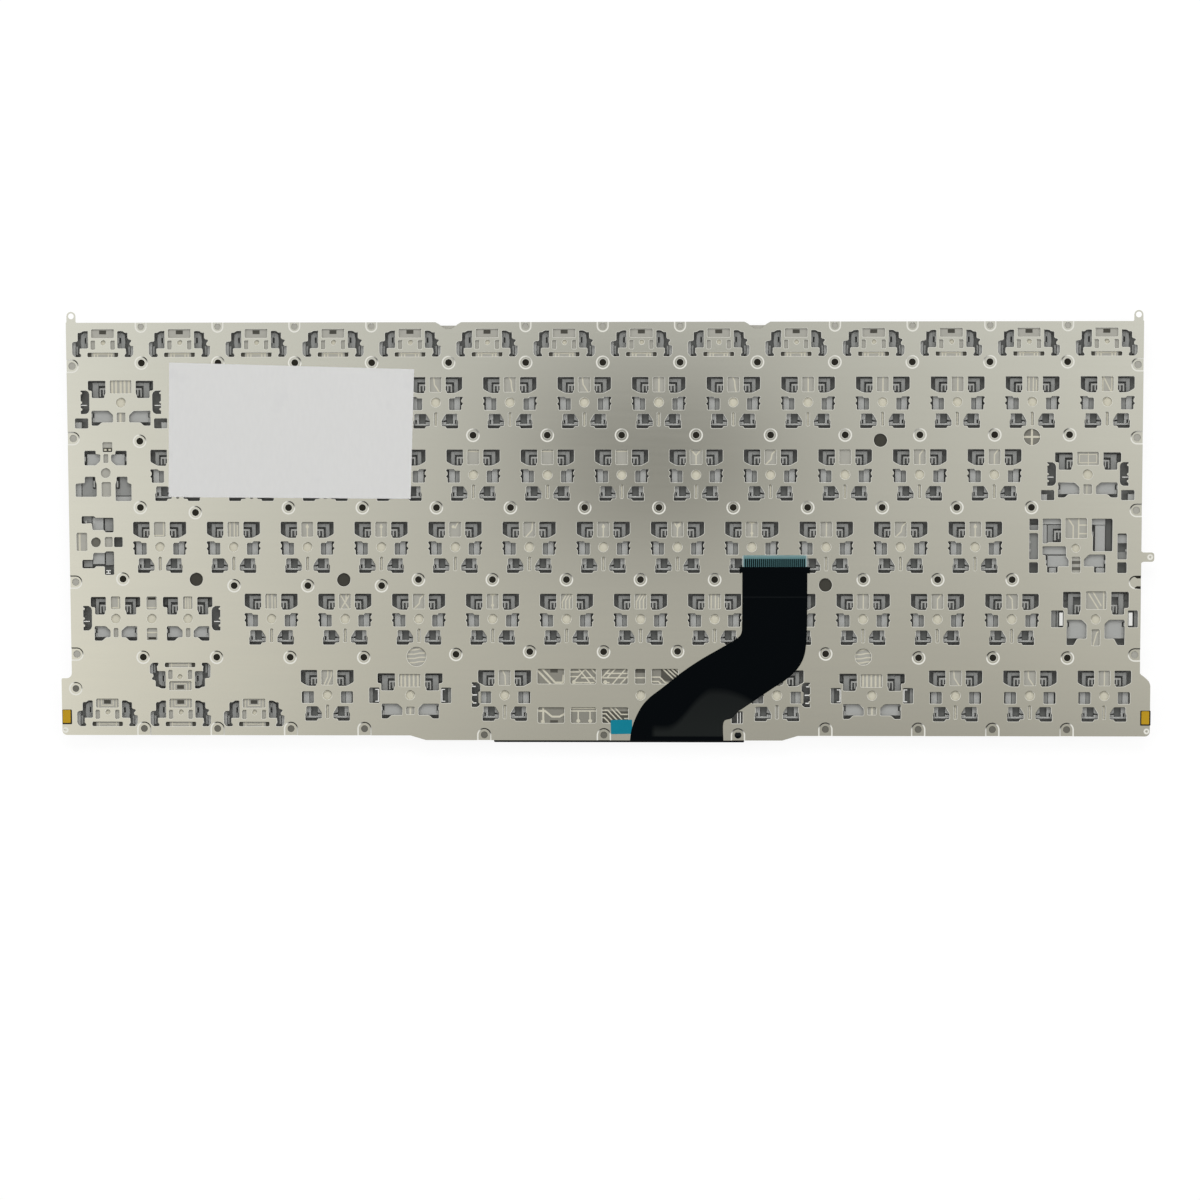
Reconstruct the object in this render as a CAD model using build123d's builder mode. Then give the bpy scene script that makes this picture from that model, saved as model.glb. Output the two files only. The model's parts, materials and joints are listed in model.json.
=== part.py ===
from build123d import *
import os
from math import radians, tan

# A laptop's replacement keyboard, lying on its keys with the stamped back plate uppermost.
# The key tops rest on z = 0 and every key travels along +Z, towards the plate.
# Columns are counted in key pitches from the -X edge of the key field, and rows run along X.

os.makedirs("parts", exist_ok=True)

# Key field, in millimetres
key_pitch = 19.05
row_pitch = 18.6
columns = 14.5
function_keys = 14
key_gap = 3.2
number_row_y = 32.76
function_row_rise = 14.2
bottom_row_drop = 19.8
bottom_key_extra = 1.0
half_key_depth = 7.9
lower_arrow_drop = 5.7
arrow_row_rise = 9.8

# Stack from the key tops to the back of the plate
key_height = 1.3
key_inset = 0.2
key_travel = 1.5
dome_squeeze = 0.5
membrane_thickness = 0.3
plate_thickness = 0.4

# Outline of the stamped back plate
plate_trim = 0.925
rear_margin = 1.49
front_margin = 3.16
lip_width = 92.0
lip_depth = 1.2
lip_slope = 4.0
ear_reach = 2.7
ear_depth = 16.2
ear_slope = 1.6
ear_chamfer = 1.3
notch_width = 6.4
notch_depth = 1.3
notch_slope = 1.2
eyelet_radius = 1.35
eyelet_reach = 1.9
eyelet_inset = 1.35
side_eyelet_drop = 3.46
side_eyelet_reach = 1.2
eyelet_sides = 6

# Cut-outs of a letter key beside its contact hub, which lies below the key's centre
hub_drop = 0.86
upper_hook_inner = 2.8
upper_hook_width = 4.2
upper_hook_y = 4.47
upper_hook_depth = 3.95
middle_window_inner = 3.6
middle_window_width = 3.05
middle_window_y = -0.5
middle_window_depth = 3.1
lower_hook_inner = 1.85
lower_hook_width = 4.05
lower_hook_y = -4.82
lower_hook_depth = 3.75

# Cut-outs of a half-height key: on each side a block that leans out into a leg
block_inner = 3.8
block_outer = 6.4
block_top = 3.25
block_bottom = -1.3
leg_inner = 5.6
leg_outer = 7.85
leg_top = 0.9
leg_bottom = -3.55

# Cut-outs of a wide key's scissor, and the slots that guide its stabiliser bar
wide_hinge_inner = 3.9
shift_hinge_inner = 2.1
hinge_head_width = 4.5
hinge_head_y = 4.45
hinge_head_depth = 2.5
hinge_neck_width = 3.4
hinge_neck_depth = 2.0
hinge_foot_overlap = 1.7
hinge_foot_width = 5.3
hinge_foot_y = -3.65
hinge_foot_depth = 3.3
guide_width = 2.2
guide_length = 6.2
short_guide_length = 4.0
delete_guide_reach = 9.1
command_guide_reach = 9.5
shift_guide_reach = 16.55
space_guide_reach = 42.5
corner_window_reach = 10.2
corner_window_y = -5.3
corner_window_width = 3.4
corner_window_depth = 2.6
space_hinge_reach = 35.1
shift_hinge_reach = 9.35

# Cut-outs of the caps key: two stacks of guide slots and two pairs of scissor openings
caps_guide_reach = 11.3
caps_stack_y = 0.0
caps_stack_step = 5.5
caps_upper_reach = 6.4
caps_upper_y = 4.3
caps_upper_depth = 6.0
caps_lower_reach = 5.0
caps_lower_y = -3.3
caps_opening_width = 4.8
caps_lower_depth = 4.2

# Cut-outs of the two-row enter key: an upright scissor above one laid on its side
enter_upper_reach = 4.2
enter_upper_y = 0.4
enter_upper_depth = 3.7
enter_lower_reach = 4.6
enter_lower_y = -7.0
enter_lower_depth = 5.2
enter_opening_width = 4.1
enter_side_length = 8.3
enter_side_width = 3.9
enter_side_x = -1.6
enter_side_y = -21.1
enter_side_reach = 4.7

# Fasteners and locating holes
screw_hole_radius = 0.8
screw_row_spacing = 18.5
front_screw_inset = 1.8
locating_hole_radius = 1.7
locating_hole_sides = 6

# Contact sheet under the plate, with a strip that shows along the front edge
membrane_margin = 1.3
membrane_screw_gap = 0.4
membrane_relief = 3.4
strip_width = 63.2
strip_column = 7.418

# Rubber domes between the contact sheet and the keys
dome_width = 6.4
half_dome_width = 4.6
dome_inset = 1.0

# Ribbon tail folded over the front edge, with its stiffened contacts
ribbon_thickness = 0.2
ribbon_edge_clearance = 0.05
ribbon_column = 9.56
ribbon_width = 16.7
ribbon_end_drop = 5.96
ribbon_bend_drop = 5.06
ribbon_slant = 33.5
ribbon_radius = 11.0
slant_end_step = 4.5
slant_end_rise = 6.7
shoulder_reach = 0.7
shoulder_length = 1.5
tail_column = 8.237
tail_width = 24.2
tail_step_rise = 3.6
contact_length = 2.6
contact_thickness = 0.3
contact_inset = 0.5

# Paper label and tapes on the back
label_column = 3.014
label_rise = 1.24
label_width = 62.6
label_depth = 33.8
label_turn = -0.8
paper_thickness = 0.12
tape_thickness = 0.1
tab_tape_width = 4.9
tab_tape_depth = 3.7
tab_tape_rise = 2.2
side_tape_inset = 0.1
side_tape_depth = 3.5
side_tape_rise = 4.8


def column_x(column):
    """X of a column counted in key pitches from the -X edge of the key field."""
    return (column - columns / 2) * key_pitch


# Levels and rows that follow from the sizes above
membrane_z = key_height + key_travel + dome_squeeze
plate_z = membrane_z + membrane_thickness
back_z = plate_z + plate_thickness
function_row_y = number_row_y + function_row_rise
tab_row_y = number_row_y - row_pitch
home_row_y = tab_row_y - row_pitch
shift_row_y = home_row_y - row_pitch
bottom_row_y = shift_row_y - bottom_row_drop
lower_arrow_y = bottom_row_y - lower_arrow_drop
upper_arrow_y = lower_arrow_y + arrow_row_rise
function_pitch = columns * key_pitch / function_keys
key_depth = row_pitch - key_gap
bottom_key_depth = key_depth + bottom_key_extra

# Edges of the plate and of the contact sheet, and the screws beside them
plate_width = columns * key_pitch - plate_trim
plate_side_x = plate_width / 2
plate_top_y = function_row_y + half_key_depth / 2 + rear_margin
plate_bottom_y = bottom_row_y - bottom_key_depth / 2 - front_margin
lip_y = plate_bottom_y - lip_depth
ear_x = plate_side_x + ear_reach
ear_top_y = plate_bottom_y + ear_depth
notch_x = 2 * function_pitch
eyelet_x = plate_side_x - eyelet_inset
side_eyelet_y = home_row_y - side_eyelet_drop
screw_x = (columns / 2 - 1) * key_pitch
front_screw_y = plate_bottom_y + front_screw_inset
rear_screw_y = front_screw_y + screw_row_spacing
membrane_top_y = plate_top_y - membrane_margin
membrane_bottom_y = front_screw_y + screw_hole_radius + membrane_screw_gap
strip_y = lip_y - ribbon_edge_clearance

# Course of the ribbon, from its contacts to the front edge
ribbon_x = column_x(ribbon_column)
ribbon_left_x = ribbon_x - ribbon_width / 2
ribbon_right_x = ribbon_x + ribbon_width / 2
ribbon_end_y = home_row_y - ribbon_end_drop
ribbon_bend_y = shift_row_y - ribbon_bend_drop
tail_x = column_x(tail_column)
tail_left_x = tail_x - tail_width / 2
tail_right_x = tail_x + tail_width / 2
tail_y = strip_y - ribbon_thickness
tail_step_y = plate_bottom_y + tail_step_rise
slant_end_x = tail_right_x + slant_end_step
slant_end_y = plate_bottom_y + slant_end_rise
tail_bend_y = ribbon_bend_y - (ribbon_left_x - tail_left_x) * tan(radians(ribbon_slant))
outer_bend_y = slant_end_y + (ribbon_right_x - slant_end_x) * tan(radians(ribbon_slant))

# Places of the label and tapes
label_x = column_x(label_column)
label_y = (number_row_y + tab_row_y) / 2 + label_rise
tab_tape_x = tail_left_x - ribbon_edge_clearance - tab_tape_width / 2
tab_tape_y = plate_bottom_y + tab_tape_rise
side_tape_x = plate_side_x + ear_reach / 2
side_tape_y = plate_bottom_y + side_tape_rise


def row_spots(first_column, count, y):
    """Centres of a run of single-width keys, along -X from the given last column."""
    return [(column_x(first_column + count - 1 - i), y) for i in range(count)]


# Centres of the keys
function_spots = [((function_keys / 2 - 0.5 - i) * function_pitch, function_row_y) for i in range(function_keys)]
number_spots = row_spots(2, 13, number_row_y)
tab_row_spots = row_spots(1.5, 12, tab_row_y)
home_row_spots = row_spots(1.25, 12, home_row_y)
shift_row_spots = row_spots(2.75, 11, shift_row_y)
bottom_row_spots = [(column_x(column), bottom_row_y) for column in (14, 13, 12, 3.5)]
lower_arrow_spots = row_spots(0.5, 3, lower_arrow_y)
upper_arrow_spot = (column_x(1.5), upper_arrow_y)
delete_spot = (column_x(0.75), number_row_y)
tab_spot = (column_x(columns - 0.75), tab_row_y)
caps_spot = (column_x(columns - 0.875), home_row_y)
shift_left_spot = (column_x(columns - 0.625), shift_row_y)
shift_right_spot = (column_x(1.125), shift_row_y)
command_left_spot = (column_x(10.875), bottom_row_y)
command_right_spot = (column_x(4.625), bottom_row_y)
space_spot = (column_x(7.75), bottom_row_y)
enter_upper_spot = (column_x(0.5), tab_row_y)
enter_lower_pitches = 0.75
enter_lower_spot = (column_x(enter_lower_pitches / 2), home_row_y)

letter_spots = number_spots + tab_row_spots + home_row_spots + shift_row_spots + bottom_row_spots
half_spots = function_spots + lower_arrow_spots + [upper_arrow_spot]
wide_spots = [delete_spot, tab_spot, caps_spot, shift_left_spot, shift_right_spot]
wide_spots += [command_left_spot, command_right_spot, space_spot, enter_upper_spot]

# Round locating holes, between the rows of keys
locating_spots = [
    (column_x(11), number_row_y - 0.575 * row_pitch),
    (column_x(1.75), home_row_y - 0.5 * row_pitch),
    (column_x(3.75), home_row_y - 0.5 * row_pitch),
    (column_x(10.25), home_row_y - 0.575 * row_pitch),
]


def hub(spot, offset=0):
    """Contact hub of a key, or of a scissor at an offset along a long key."""
    return (spot[0] + offset, spot[1] - hub_drop)


letter_hubs = [hub(spot) for spot in letter_spots]
letter_hubs += [hub(space_spot, -space_hinge_reach), hub(space_spot, space_hinge_reach)]


def pair(reach, y, width, depth):
    """Two equal rectangles, one on each side of the centre line."""
    with Locations((-reach, y), (reach, y)):
        Rectangle(width, depth)


def hinge_set(inner):
    """Cut-outs of one scissor under a wide key, its halves starting at a distance from the hub."""
    neck_y = hinge_head_y - (hinge_head_depth + hinge_neck_depth) / 2
    foot_x = inner - hinge_foot_overlap + hinge_foot_width / 2
    with BuildSketch() as cutouts:
        pair(inner + hinge_head_width / 2, hinge_head_y, hinge_head_width, hinge_head_depth)
        pair(inner + hinge_neck_width / 2, neck_y, hinge_neck_width, hinge_neck_depth)
        pair(foot_x, hinge_foot_y, hinge_foot_width, hinge_foot_depth)
    return cutouts.sketch


def guide_pair(reach, length):
    """Slots at the two ends of a stabiliser bar."""
    with BuildSketch() as cutouts:
        pair(reach, 0, guide_width, length)
    return cutouts.sketch


def eyelet_tab(reach):
    """Small round-ended tab that stands out of an edge, for a locating eyelet."""
    with BuildSketch() as tab:
        with Locations((0, reach)):
            RegularPolygon(eyelet_radius, eyelet_sides, major_radius=False, rotation=90 - 180 / eyelet_sides)
        with Locations((0, reach / 2)):
            Rectangle(eyelet_radius, reach)
    return tab.sketch


with BuildSketch() as letter_cutouts:
    pair(upper_hook_inner + upper_hook_width / 2, upper_hook_y, upper_hook_width, upper_hook_depth)
    pair(middle_window_inner + middle_window_width / 2, middle_window_y, middle_window_width, middle_window_depth)
    pair(lower_hook_inner + lower_hook_width / 2, lower_hook_y, lower_hook_width, lower_hook_depth)

with BuildSketch() as half_cutouts:
    Polygon(
        (block_inner, block_top),
        (block_inner, block_bottom),
        (leg_inner, leg_bottom),
        (leg_outer, leg_bottom),
        (leg_outer, leg_top),
        (block_outer, block_top),
        align=None,
    )
    mirror(about=Plane.YZ)

with BuildSketch() as corner_windows:
    pair(corner_window_reach, corner_window_y, corner_window_width, corner_window_depth)

with BuildSketch() as caps_cutouts:
    pair(caps_guide_reach, caps_stack_y, guide_width, guide_length)
    pair(caps_guide_reach, caps_stack_y - caps_stack_step, guide_width, guide_width)
    pair(caps_upper_reach, caps_upper_y, caps_opening_width, caps_upper_depth)
    pair(caps_lower_reach, caps_lower_y, caps_opening_width, caps_lower_depth)

with BuildSketch() as enter_cutouts:
    pair(enter_upper_reach, enter_upper_y, enter_opening_width, enter_upper_depth)
    pair(enter_lower_reach, enter_lower_y, enter_opening_width, enter_lower_depth)
    with Locations((enter_side_x, enter_side_y)):
        with GridLocations(1, 2 * enter_side_reach, 1, 2):
            Rectangle(enter_side_length, enter_side_width)

with BuildPart() as base_plate:
    with BuildSketch(Plane.XY.offset(plate_z)) as plate_face:
        with BuildLine():
            Polyline(
                (0, lip_y),
                (lip_width / 2, lip_y),
                (lip_width / 2 + lip_slope, plate_bottom_y),
                (ear_x, plate_bottom_y),
                (ear_x, ear_top_y - ear_slope),
                (plate_side_x, ear_top_y),
                (plate_side_x, plate_top_y),
                (notch_x + notch_width / 2, plate_top_y),
                (notch_x + notch_width / 2 - notch_slope, plate_top_y - notch_depth),
                (notch_x - notch_width / 2 + notch_slope, plate_top_y - notch_depth),
                (notch_x - notch_width / 2, plate_top_y),
                (0, plate_top_y),
            )
            mirror(about=Plane.YZ)
        make_face()
        front_corners = plate_face.vertices().filter_by_position(Axis.Y, plate_bottom_y, plate_bottom_y)
        chamfer([front_corners.sort_by(Axis.X)[0], front_corners.sort_by(Axis.X)[-1]], ear_chamfer)
        with Locations((-eyelet_x, plate_top_y), (eyelet_x, plate_top_y)):
            add(eyelet_tab(eyelet_reach))
        with Locations(Location((plate_side_x, side_eyelet_y), -90)):
            add(eyelet_tab(side_eyelet_reach))
        with Locations(hub(delete_spot), hub(tab_spot)):
            add(hinge_set(wide_hinge_inner), mode=Mode.SUBTRACT)
            add(guide_pair(delete_guide_reach, guide_length), mode=Mode.SUBTRACT)
            add(corner_windows.sketch, mode=Mode.SUBTRACT)
        with Locations(hub(shift_left_spot), hub(command_left_spot), hub(command_right_spot)):
            add(hinge_set(wide_hinge_inner), mode=Mode.SUBTRACT)
            add(guide_pair(command_guide_reach, short_guide_length), mode=Mode.SUBTRACT)
        with Locations(hub(shift_right_spot, -shift_hinge_reach), hub(shift_right_spot, shift_hinge_reach)):
            add(hinge_set(shift_hinge_inner), mode=Mode.SUBTRACT)
        with Locations(hub(shift_right_spot)):
            add(guide_pair(shift_guide_reach, guide_length), mode=Mode.SUBTRACT)
        with Locations(hub(space_spot)):
            add(guide_pair(space_guide_reach, guide_length), mode=Mode.SUBTRACT)
        with Locations(hub(caps_spot)):
            add(caps_cutouts.sketch, mode=Mode.SUBTRACT)
        with Locations(enter_upper_spot):
            add(enter_cutouts.sketch, mode=Mode.SUBTRACT)
        with Locations(*locating_spots):
            RegularPolygon(locating_hole_radius, locating_hole_sides, mode=Mode.SUBTRACT)
        with Locations((0, (front_screw_y + rear_screw_y) / 2)):
            with GridLocations(2 * screw_x, screw_row_spacing, 2, 2):
                Circle(screw_hole_radius, mode=Mode.SUBTRACT)
        with Locations(Location(upper_arrow_spot, 180)):
            add(half_cutouts.sketch, mode=Mode.SUBTRACT)
        with Locations(*function_spots, *lower_arrow_spots):
            add(half_cutouts.sketch, mode=Mode.SUBTRACT)
        with Locations(*letter_hubs):
            add(letter_cutouts.sketch, mode=Mode.SUBTRACT)
    extrude(amount=plate_thickness)
base_plate.part.label = "base_plate"
export_step(base_plate.part, "parts/base_plate.step")

with BuildPart() as membrane:
    with BuildSketch(Plane.XY.offset(membrane_z)):
        with Locations((0, (membrane_top_y + membrane_bottom_y) / 2)):
            Rectangle(plate_width - 2 * membrane_margin, membrane_top_y - membrane_bottom_y)
        with Locations((column_x(strip_column), (membrane_bottom_y + strip_y) / 2)):
            Rectangle(strip_width, membrane_bottom_y - strip_y)
        with Locations((-screw_x, rear_screw_y), (screw_x, rear_screw_y)):
            Rectangle(membrane_relief, membrane_relief, mode=Mode.SUBTRACT)
    extrude(amount=membrane_thickness)
membrane.part.label = "membrane"
export_step(membrane.part, "parts/membrane.step")


def drafted_block(width, depth, inset, low_z, high_z):
    """Block whose four sides lean in by an inset, from its full size above to a smaller face below."""
    with BuildPart() as block:
        with BuildSketch(Plane.XZ):
            drafted_profile(width, inset, low_z, high_z)
        extrude(amount=depth, both=True)
        with BuildSketch(Plane.YZ):
            drafted_profile(depth, inset, low_z, high_z)
        extrude(amount=width, both=True, mode=Mode.INTERSECT)
    return block.part


def drafted_profile(width, inset, low_z, high_z):
    """Upright section of a drafted block."""
    half = width / 2
    Polygon((half - inset, low_z), (half, high_z), (-half, high_z), (inset - half, low_z), align=None)


def key_block(width, depth):
    """One key, its top face on the ground plane."""
    return drafted_block(width, depth, key_inset, 0, key_height)


with BuildPart() as rubber_domes:
    with Locations(*[hub(spot) for spot in letter_spots + wide_spots]):
        add(drafted_block(dome_width, dome_width, dome_inset, key_height, membrane_z))
    with Locations(*half_spots):
        add(drafted_block(half_dome_width, half_dome_width, dome_inset, key_height, membrane_z))
rubber_domes.part.label = "rubber_domes"
export_step(rubber_domes.part, "parts/rubber_domes.step")

with BuildPart() as function_row_keys:
    with Locations(*function_spots):
        add(key_block(function_pitch - key_gap, half_key_depth))
function_row_keys.part.label = "function_row_keys"
export_step(function_row_keys.part, "parts/function_row_keys.step")

with BuildPart() as number_row_keys:
    with Locations(*number_spots):
        add(key_block(key_pitch - key_gap, key_depth))
number_row_keys.part.label = "number_row_keys"
export_step(number_row_keys.part, "parts/number_row_keys.step")

with BuildPart() as arrow_keys:
    with Locations(*lower_arrow_spots, upper_arrow_spot):
        add(key_block(key_pitch - key_gap, half_key_depth))
arrow_keys.part.label = "arrow_keys"
export_step(arrow_keys.part, "parts/arrow_keys.step")

# Keys that travel one by one: name, centre, width in key pitches, depth
travelling_keys = [
    ("delete_key", delete_spot, 1.5, key_depth),
    ("tab_key", tab_spot, 1.5, key_depth),
    ("caps_key", caps_spot, 1.75, key_depth),
    ("shift_left_key", shift_left_spot, 1.25, key_depth),
    ("shift_right_key", shift_right_spot, 2.25, key_depth),
    ("command_left_key", command_left_spot, 1.25, bottom_key_depth),
    ("command_right_key", command_right_spot, 1.25, bottom_key_depth),
    ("space_key", space_spot, 5, bottom_key_depth),
]
for row_name, spots in (("tab_row", tab_row_spots), ("home_row", home_row_spots), ("shift_row", shift_row_spots)):
    travelling_keys += [(f"{row_name}_key_{i + 1:02d}", spot, 1, key_depth) for i, spot in enumerate(spots)]
travelling_keys += [(f"bottom_row_key_{i + 1}", spot, 1, bottom_key_depth) for i, spot in enumerate(bottom_row_spots)]

for key_name, spot, pitches, depth in travelling_keys:
    with BuildPart() as key:
        with Locations(spot):
            add(key_block(pitches * key_pitch - key_gap, depth))
    key.part.label = key_name
    export_step(key.part, f"parts/{key_name}.step")

with BuildPart() as enter_key:
    with Locations(enter_upper_spot):
        add(key_block(key_pitch - key_gap, key_depth))
    with Locations((enter_lower_spot[0], enter_lower_spot[1] + row_pitch / 2)):
        add(key_block(enter_lower_pitches * key_pitch - key_gap, key_depth + row_pitch))
enter_key.part.label = "enter_key"
export_step(enter_key.part, "parts/enter_key.step")

with BuildPart() as ribbon_cable:
    with BuildSketch(Plane.XY.offset(back_z)) as ribbon_face:
        with BuildLine():
            Polyline(
                (tail_left_x, tail_y),
                (tail_left_x, tail_bend_y),
                (ribbon_left_x, ribbon_bend_y),
                (ribbon_left_x, ribbon_end_y),
                (ribbon_right_x, ribbon_end_y),
                (ribbon_right_x, outer_bend_y),
                (slant_end_x, slant_end_y),
                (tail_right_x, tail_step_y),
                (tail_right_x, tail_y),
                close=True,
            )
        make_face()
        left_bend = ribbon_face.vertices().filter_by_position(Axis.Y, tail_bend_y, tail_bend_y)
        right_bend = ribbon_face.vertices().filter_by_position(Axis.Y, outer_bend_y, outer_bend_y)
        fillet(left_bend + right_bend, ribbon_radius)
        with Locations((ribbon_x, ribbon_end_y - shoulder_length / 2)):
            Rectangle(ribbon_width + 2 * shoulder_reach, shoulder_length)
    extrude(amount=ribbon_thickness)
    with BuildSketch(Plane.XY.offset(membrane_z)):
        with Locations((tail_x, tail_y + ribbon_thickness / 2)):
            Rectangle(tail_width, ribbon_thickness)
    extrude(amount=back_z - membrane_z)
ribbon_cable.part.label = "ribbon_cable"
export_step(ribbon_cable.part, "parts/ribbon_cable.step")

with BuildPart() as ribbon_contacts:
    with BuildSketch(Plane.XY.offset(back_z)):
        with Locations((ribbon_x, ribbon_end_y + contact_length / 2)):
            Rectangle(ribbon_width - 2 * contact_inset, contact_length)
    extrude(amount=contact_thickness)
ribbon_contacts.part.label = "ribbon_contacts"
export_step(ribbon_contacts.part, "parts/ribbon_contacts.step")

with BuildPart() as paper_label:
    with BuildSketch(Plane.XY.offset(back_z)):
        with Locations((label_x, label_y)):
            Rectangle(label_width, label_depth, rotation=label_turn)
    extrude(amount=paper_thickness)
paper_label.part.label = "paper_label"
export_step(paper_label.part, "parts/paper_label.step")

with BuildPart() as tab_tape:
    with BuildSketch(Plane.XY.offset(back_z)):
        with Locations((tab_tape_x, tab_tape_y)):
            Rectangle(tab_tape_width, tab_tape_depth)
    extrude(amount=tape_thickness)
tab_tape.part.label = "tab_tape"
export_step(tab_tape.part, "parts/tab_tape.step")

with BuildPart() as side_tapes:
    with BuildSketch(Plane.XY.offset(back_z)):
        with Locations((-side_tape_x, side_tape_y), (side_tape_x, side_tape_y)):
            Rectangle(ear_reach - 2 * side_tape_inset, side_tape_depth)
    extrude(amount=tape_thickness)
side_tapes.part.label = "side_tapes"
export_step(side_tapes.part, "parts/side_tapes.step")
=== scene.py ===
import json
from collections import namedtuple
from math import cos, pi, radians, sin

import bpy
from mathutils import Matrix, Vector
from mathutils.geometry import tessellate_polygon

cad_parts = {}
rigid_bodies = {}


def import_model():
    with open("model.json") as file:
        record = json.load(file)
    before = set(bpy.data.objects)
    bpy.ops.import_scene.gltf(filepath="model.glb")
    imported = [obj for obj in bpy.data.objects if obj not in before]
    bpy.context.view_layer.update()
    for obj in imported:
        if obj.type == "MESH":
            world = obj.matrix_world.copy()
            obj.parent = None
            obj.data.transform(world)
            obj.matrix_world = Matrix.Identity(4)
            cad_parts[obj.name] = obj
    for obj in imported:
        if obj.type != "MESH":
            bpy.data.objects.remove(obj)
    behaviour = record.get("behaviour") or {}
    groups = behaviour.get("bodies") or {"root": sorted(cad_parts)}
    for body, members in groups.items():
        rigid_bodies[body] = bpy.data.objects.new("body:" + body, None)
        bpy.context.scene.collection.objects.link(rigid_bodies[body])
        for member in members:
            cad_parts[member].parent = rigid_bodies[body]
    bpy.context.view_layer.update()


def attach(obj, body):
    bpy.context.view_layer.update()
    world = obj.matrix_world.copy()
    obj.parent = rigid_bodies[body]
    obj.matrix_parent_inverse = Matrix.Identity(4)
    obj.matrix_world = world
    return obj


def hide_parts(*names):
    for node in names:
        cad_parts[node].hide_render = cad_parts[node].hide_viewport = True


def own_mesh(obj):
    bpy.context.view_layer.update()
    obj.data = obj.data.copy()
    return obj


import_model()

# A laptop keyboard that lies on its keys, its stamped back plate uppermost. Sizes are in millimetres
# until a shape becomes a mesh, and z runs from the key tops at 0 to the back of the plate.
MM = 0.001
BACK = 4.0
PLATE_UNDER = 3.6
FILM_TOP = 3.57
FILM_UNDER = 3.32
LINK_TOP = 3.22
KEY_BACK = 1.3
KEY_PITCH = 19.05
FUNCTION_PITCH = 19.7321
ROWS = {"function": 46.96, "number": 32.76, "tab": 14.16, "home": -4.44, "shift": -23.04, "bottom": -42.84}
HUB_DROP = 0.86
KEY_DEPTH = 15.4
BOTTOM_KEY_DEPTH = 16.4
HALF_KEY_DEPTH = 7.9
KEY_SPACE = 3.2
SIDE_X = 137.65
REAR_Y = 52.4
FRONT_Y = -54.2
LIP_Y = -55.4
EAR_X = 140.35
TAB_END = 140.95
EYE_X, EYE_Y = 136.3, 54.05


def column_x(column):
    """X of a column counted in key pitches from the -X edge of the key field."""
    return (column - 7.25) * KEY_PITCH


# ---- Nodes ----


class Nodes:
    """One node tree, shader or geometry, with a single way to add a node."""

    def __init__(self, tree):
        self.tree = tree

    def add(self, kind, settings=None, inputs=None, out=0):
        """A node of a kind: its settings first, then the values or links of its sockets."""
        node = self.tree.nodes.new(kind)
        for name, value in (settings or {}).items():
            setattr(node, name, value)
        for name, value in (inputs or {}).items():
            for one in value if isinstance(value, list) else [value]:
                if isinstance(one, Socket):
                    self.tree.links.new(one.socket, node.inputs[name])
                else:
                    node.inputs[name].default_value = one
        return Socket(self, node.outputs[out]) if node.outputs else node

    def light_path(self):
        """Whether the camera, a mirroring surface or a clear one looks, as three sockets."""
        path = self.tree.nodes.new("ShaderNodeLightPath")
        return [Socket(self, path.outputs[f"Is {ray} Ray"]) for ray in ("Camera", "Glossy", "Transmission")]


class Socket:
    """An output socket that takes part in sums, so that a mask reads as an expression."""

    def __init__(self, nodes, socket):
        self.nodes = nodes
        self.socket = socket

    def math(self, operation, first, second=0.0, clamp=False):
        """One step of arithmetic between sockets or numbers."""
        settings = {"operation": operation, "use_clamp": clamp}
        return self.nodes.add("ShaderNodeMath", settings, {0: first, 1: second})

    def __add__(self, other):
        return self.math("ADD", self, other)

    def __radd__(self, other):
        return self.math("ADD", other, self)

    def __sub__(self, other):
        return self.math("SUBTRACT", self, other)

    def __rsub__(self, other):
        return self.math("SUBTRACT", other, self)

    def __mul__(self, other):
        return self.math("MULTIPLY", self, other)

    def __truediv__(self, other):
        return self.math("DIVIDE", self, other)

    def above(self, edge, soft):
        """0 below an edge and 1 above it, with a soft step."""
        return self.math("DIVIDE", self - (edge - soft / 2), soft, clamp=True)

    def at_least(self, limit):
        """The value, or the limit where that is more."""
        return self.math("MAXIMUM", self, limit)

    def at_most(self, limit):
        """The value, or the limit where that is less."""
        return self.math("MINIMUM", self, limit)

    def size(self):
        """The value without its sign."""
        return self.math("ABSOLUTE", self)


class Finish(Nodes):
    """The nodes of one material, with the textures that the finishes here share."""

    def __init__(self, name):
        self.material = bpy.data.materials.new(name)
        self.material.use_nodes = True
        super().__init__(self.material.node_tree)
        self.tree.nodes.clear()
        self.place = self.add("ShaderNodeTexCoord", out="Object")

    def noise(self, scale, detail=2.0, stretch=(1, 1, 1)):
        """Cloudy noise over the surface, features per metre, drawn out along an axis by its stretch."""
        place = self.add("ShaderNodeMapping", None, {"Vector": self.place, "Scale": stretch})
        return self.add("ShaderNodeTexNoise", None, {"Vector": place, "Scale": scale, "Detail": detail})

    def along(self, axis):
        """One coordinate of the surface, in millimetres."""
        return self.add("ShaderNodeSeparateXYZ", None, {0: self.place}, out=axis) * 1000.0

    def blend(self, share, first, second):
        """A colour between two, by a share."""
        inputs = {"Factor": share, "A": first, "B": second}
        return self.add("ShaderNodeMix", {"data_type": "RGBA"}, inputs, out=2)

    def mark(self, name):
        """A number that the mesh carries, as a share."""
        return self.add("ShaderNodeAttribute", {"attribute_name": name}, out="Fac")

    def bump(self, height, strength, distance):
        """A normal that follows a height, with its distance in metres."""
        inputs = {"Height": height, "Strength": strength, "Distance": distance}
        return self.add("ShaderNodeBump", None, inputs)

    def done(self, **inputs):
        """Closes the material with its shader, the socket names written with underscores."""
        named = {name.replace("_", " "): value for name, value in inputs.items()}
        shader = self.add("ShaderNodeBsdfPrincipled", None, named)
        self.add("ShaderNodeOutputMaterial", None, {"Surface": shader})
        return self.material


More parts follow.
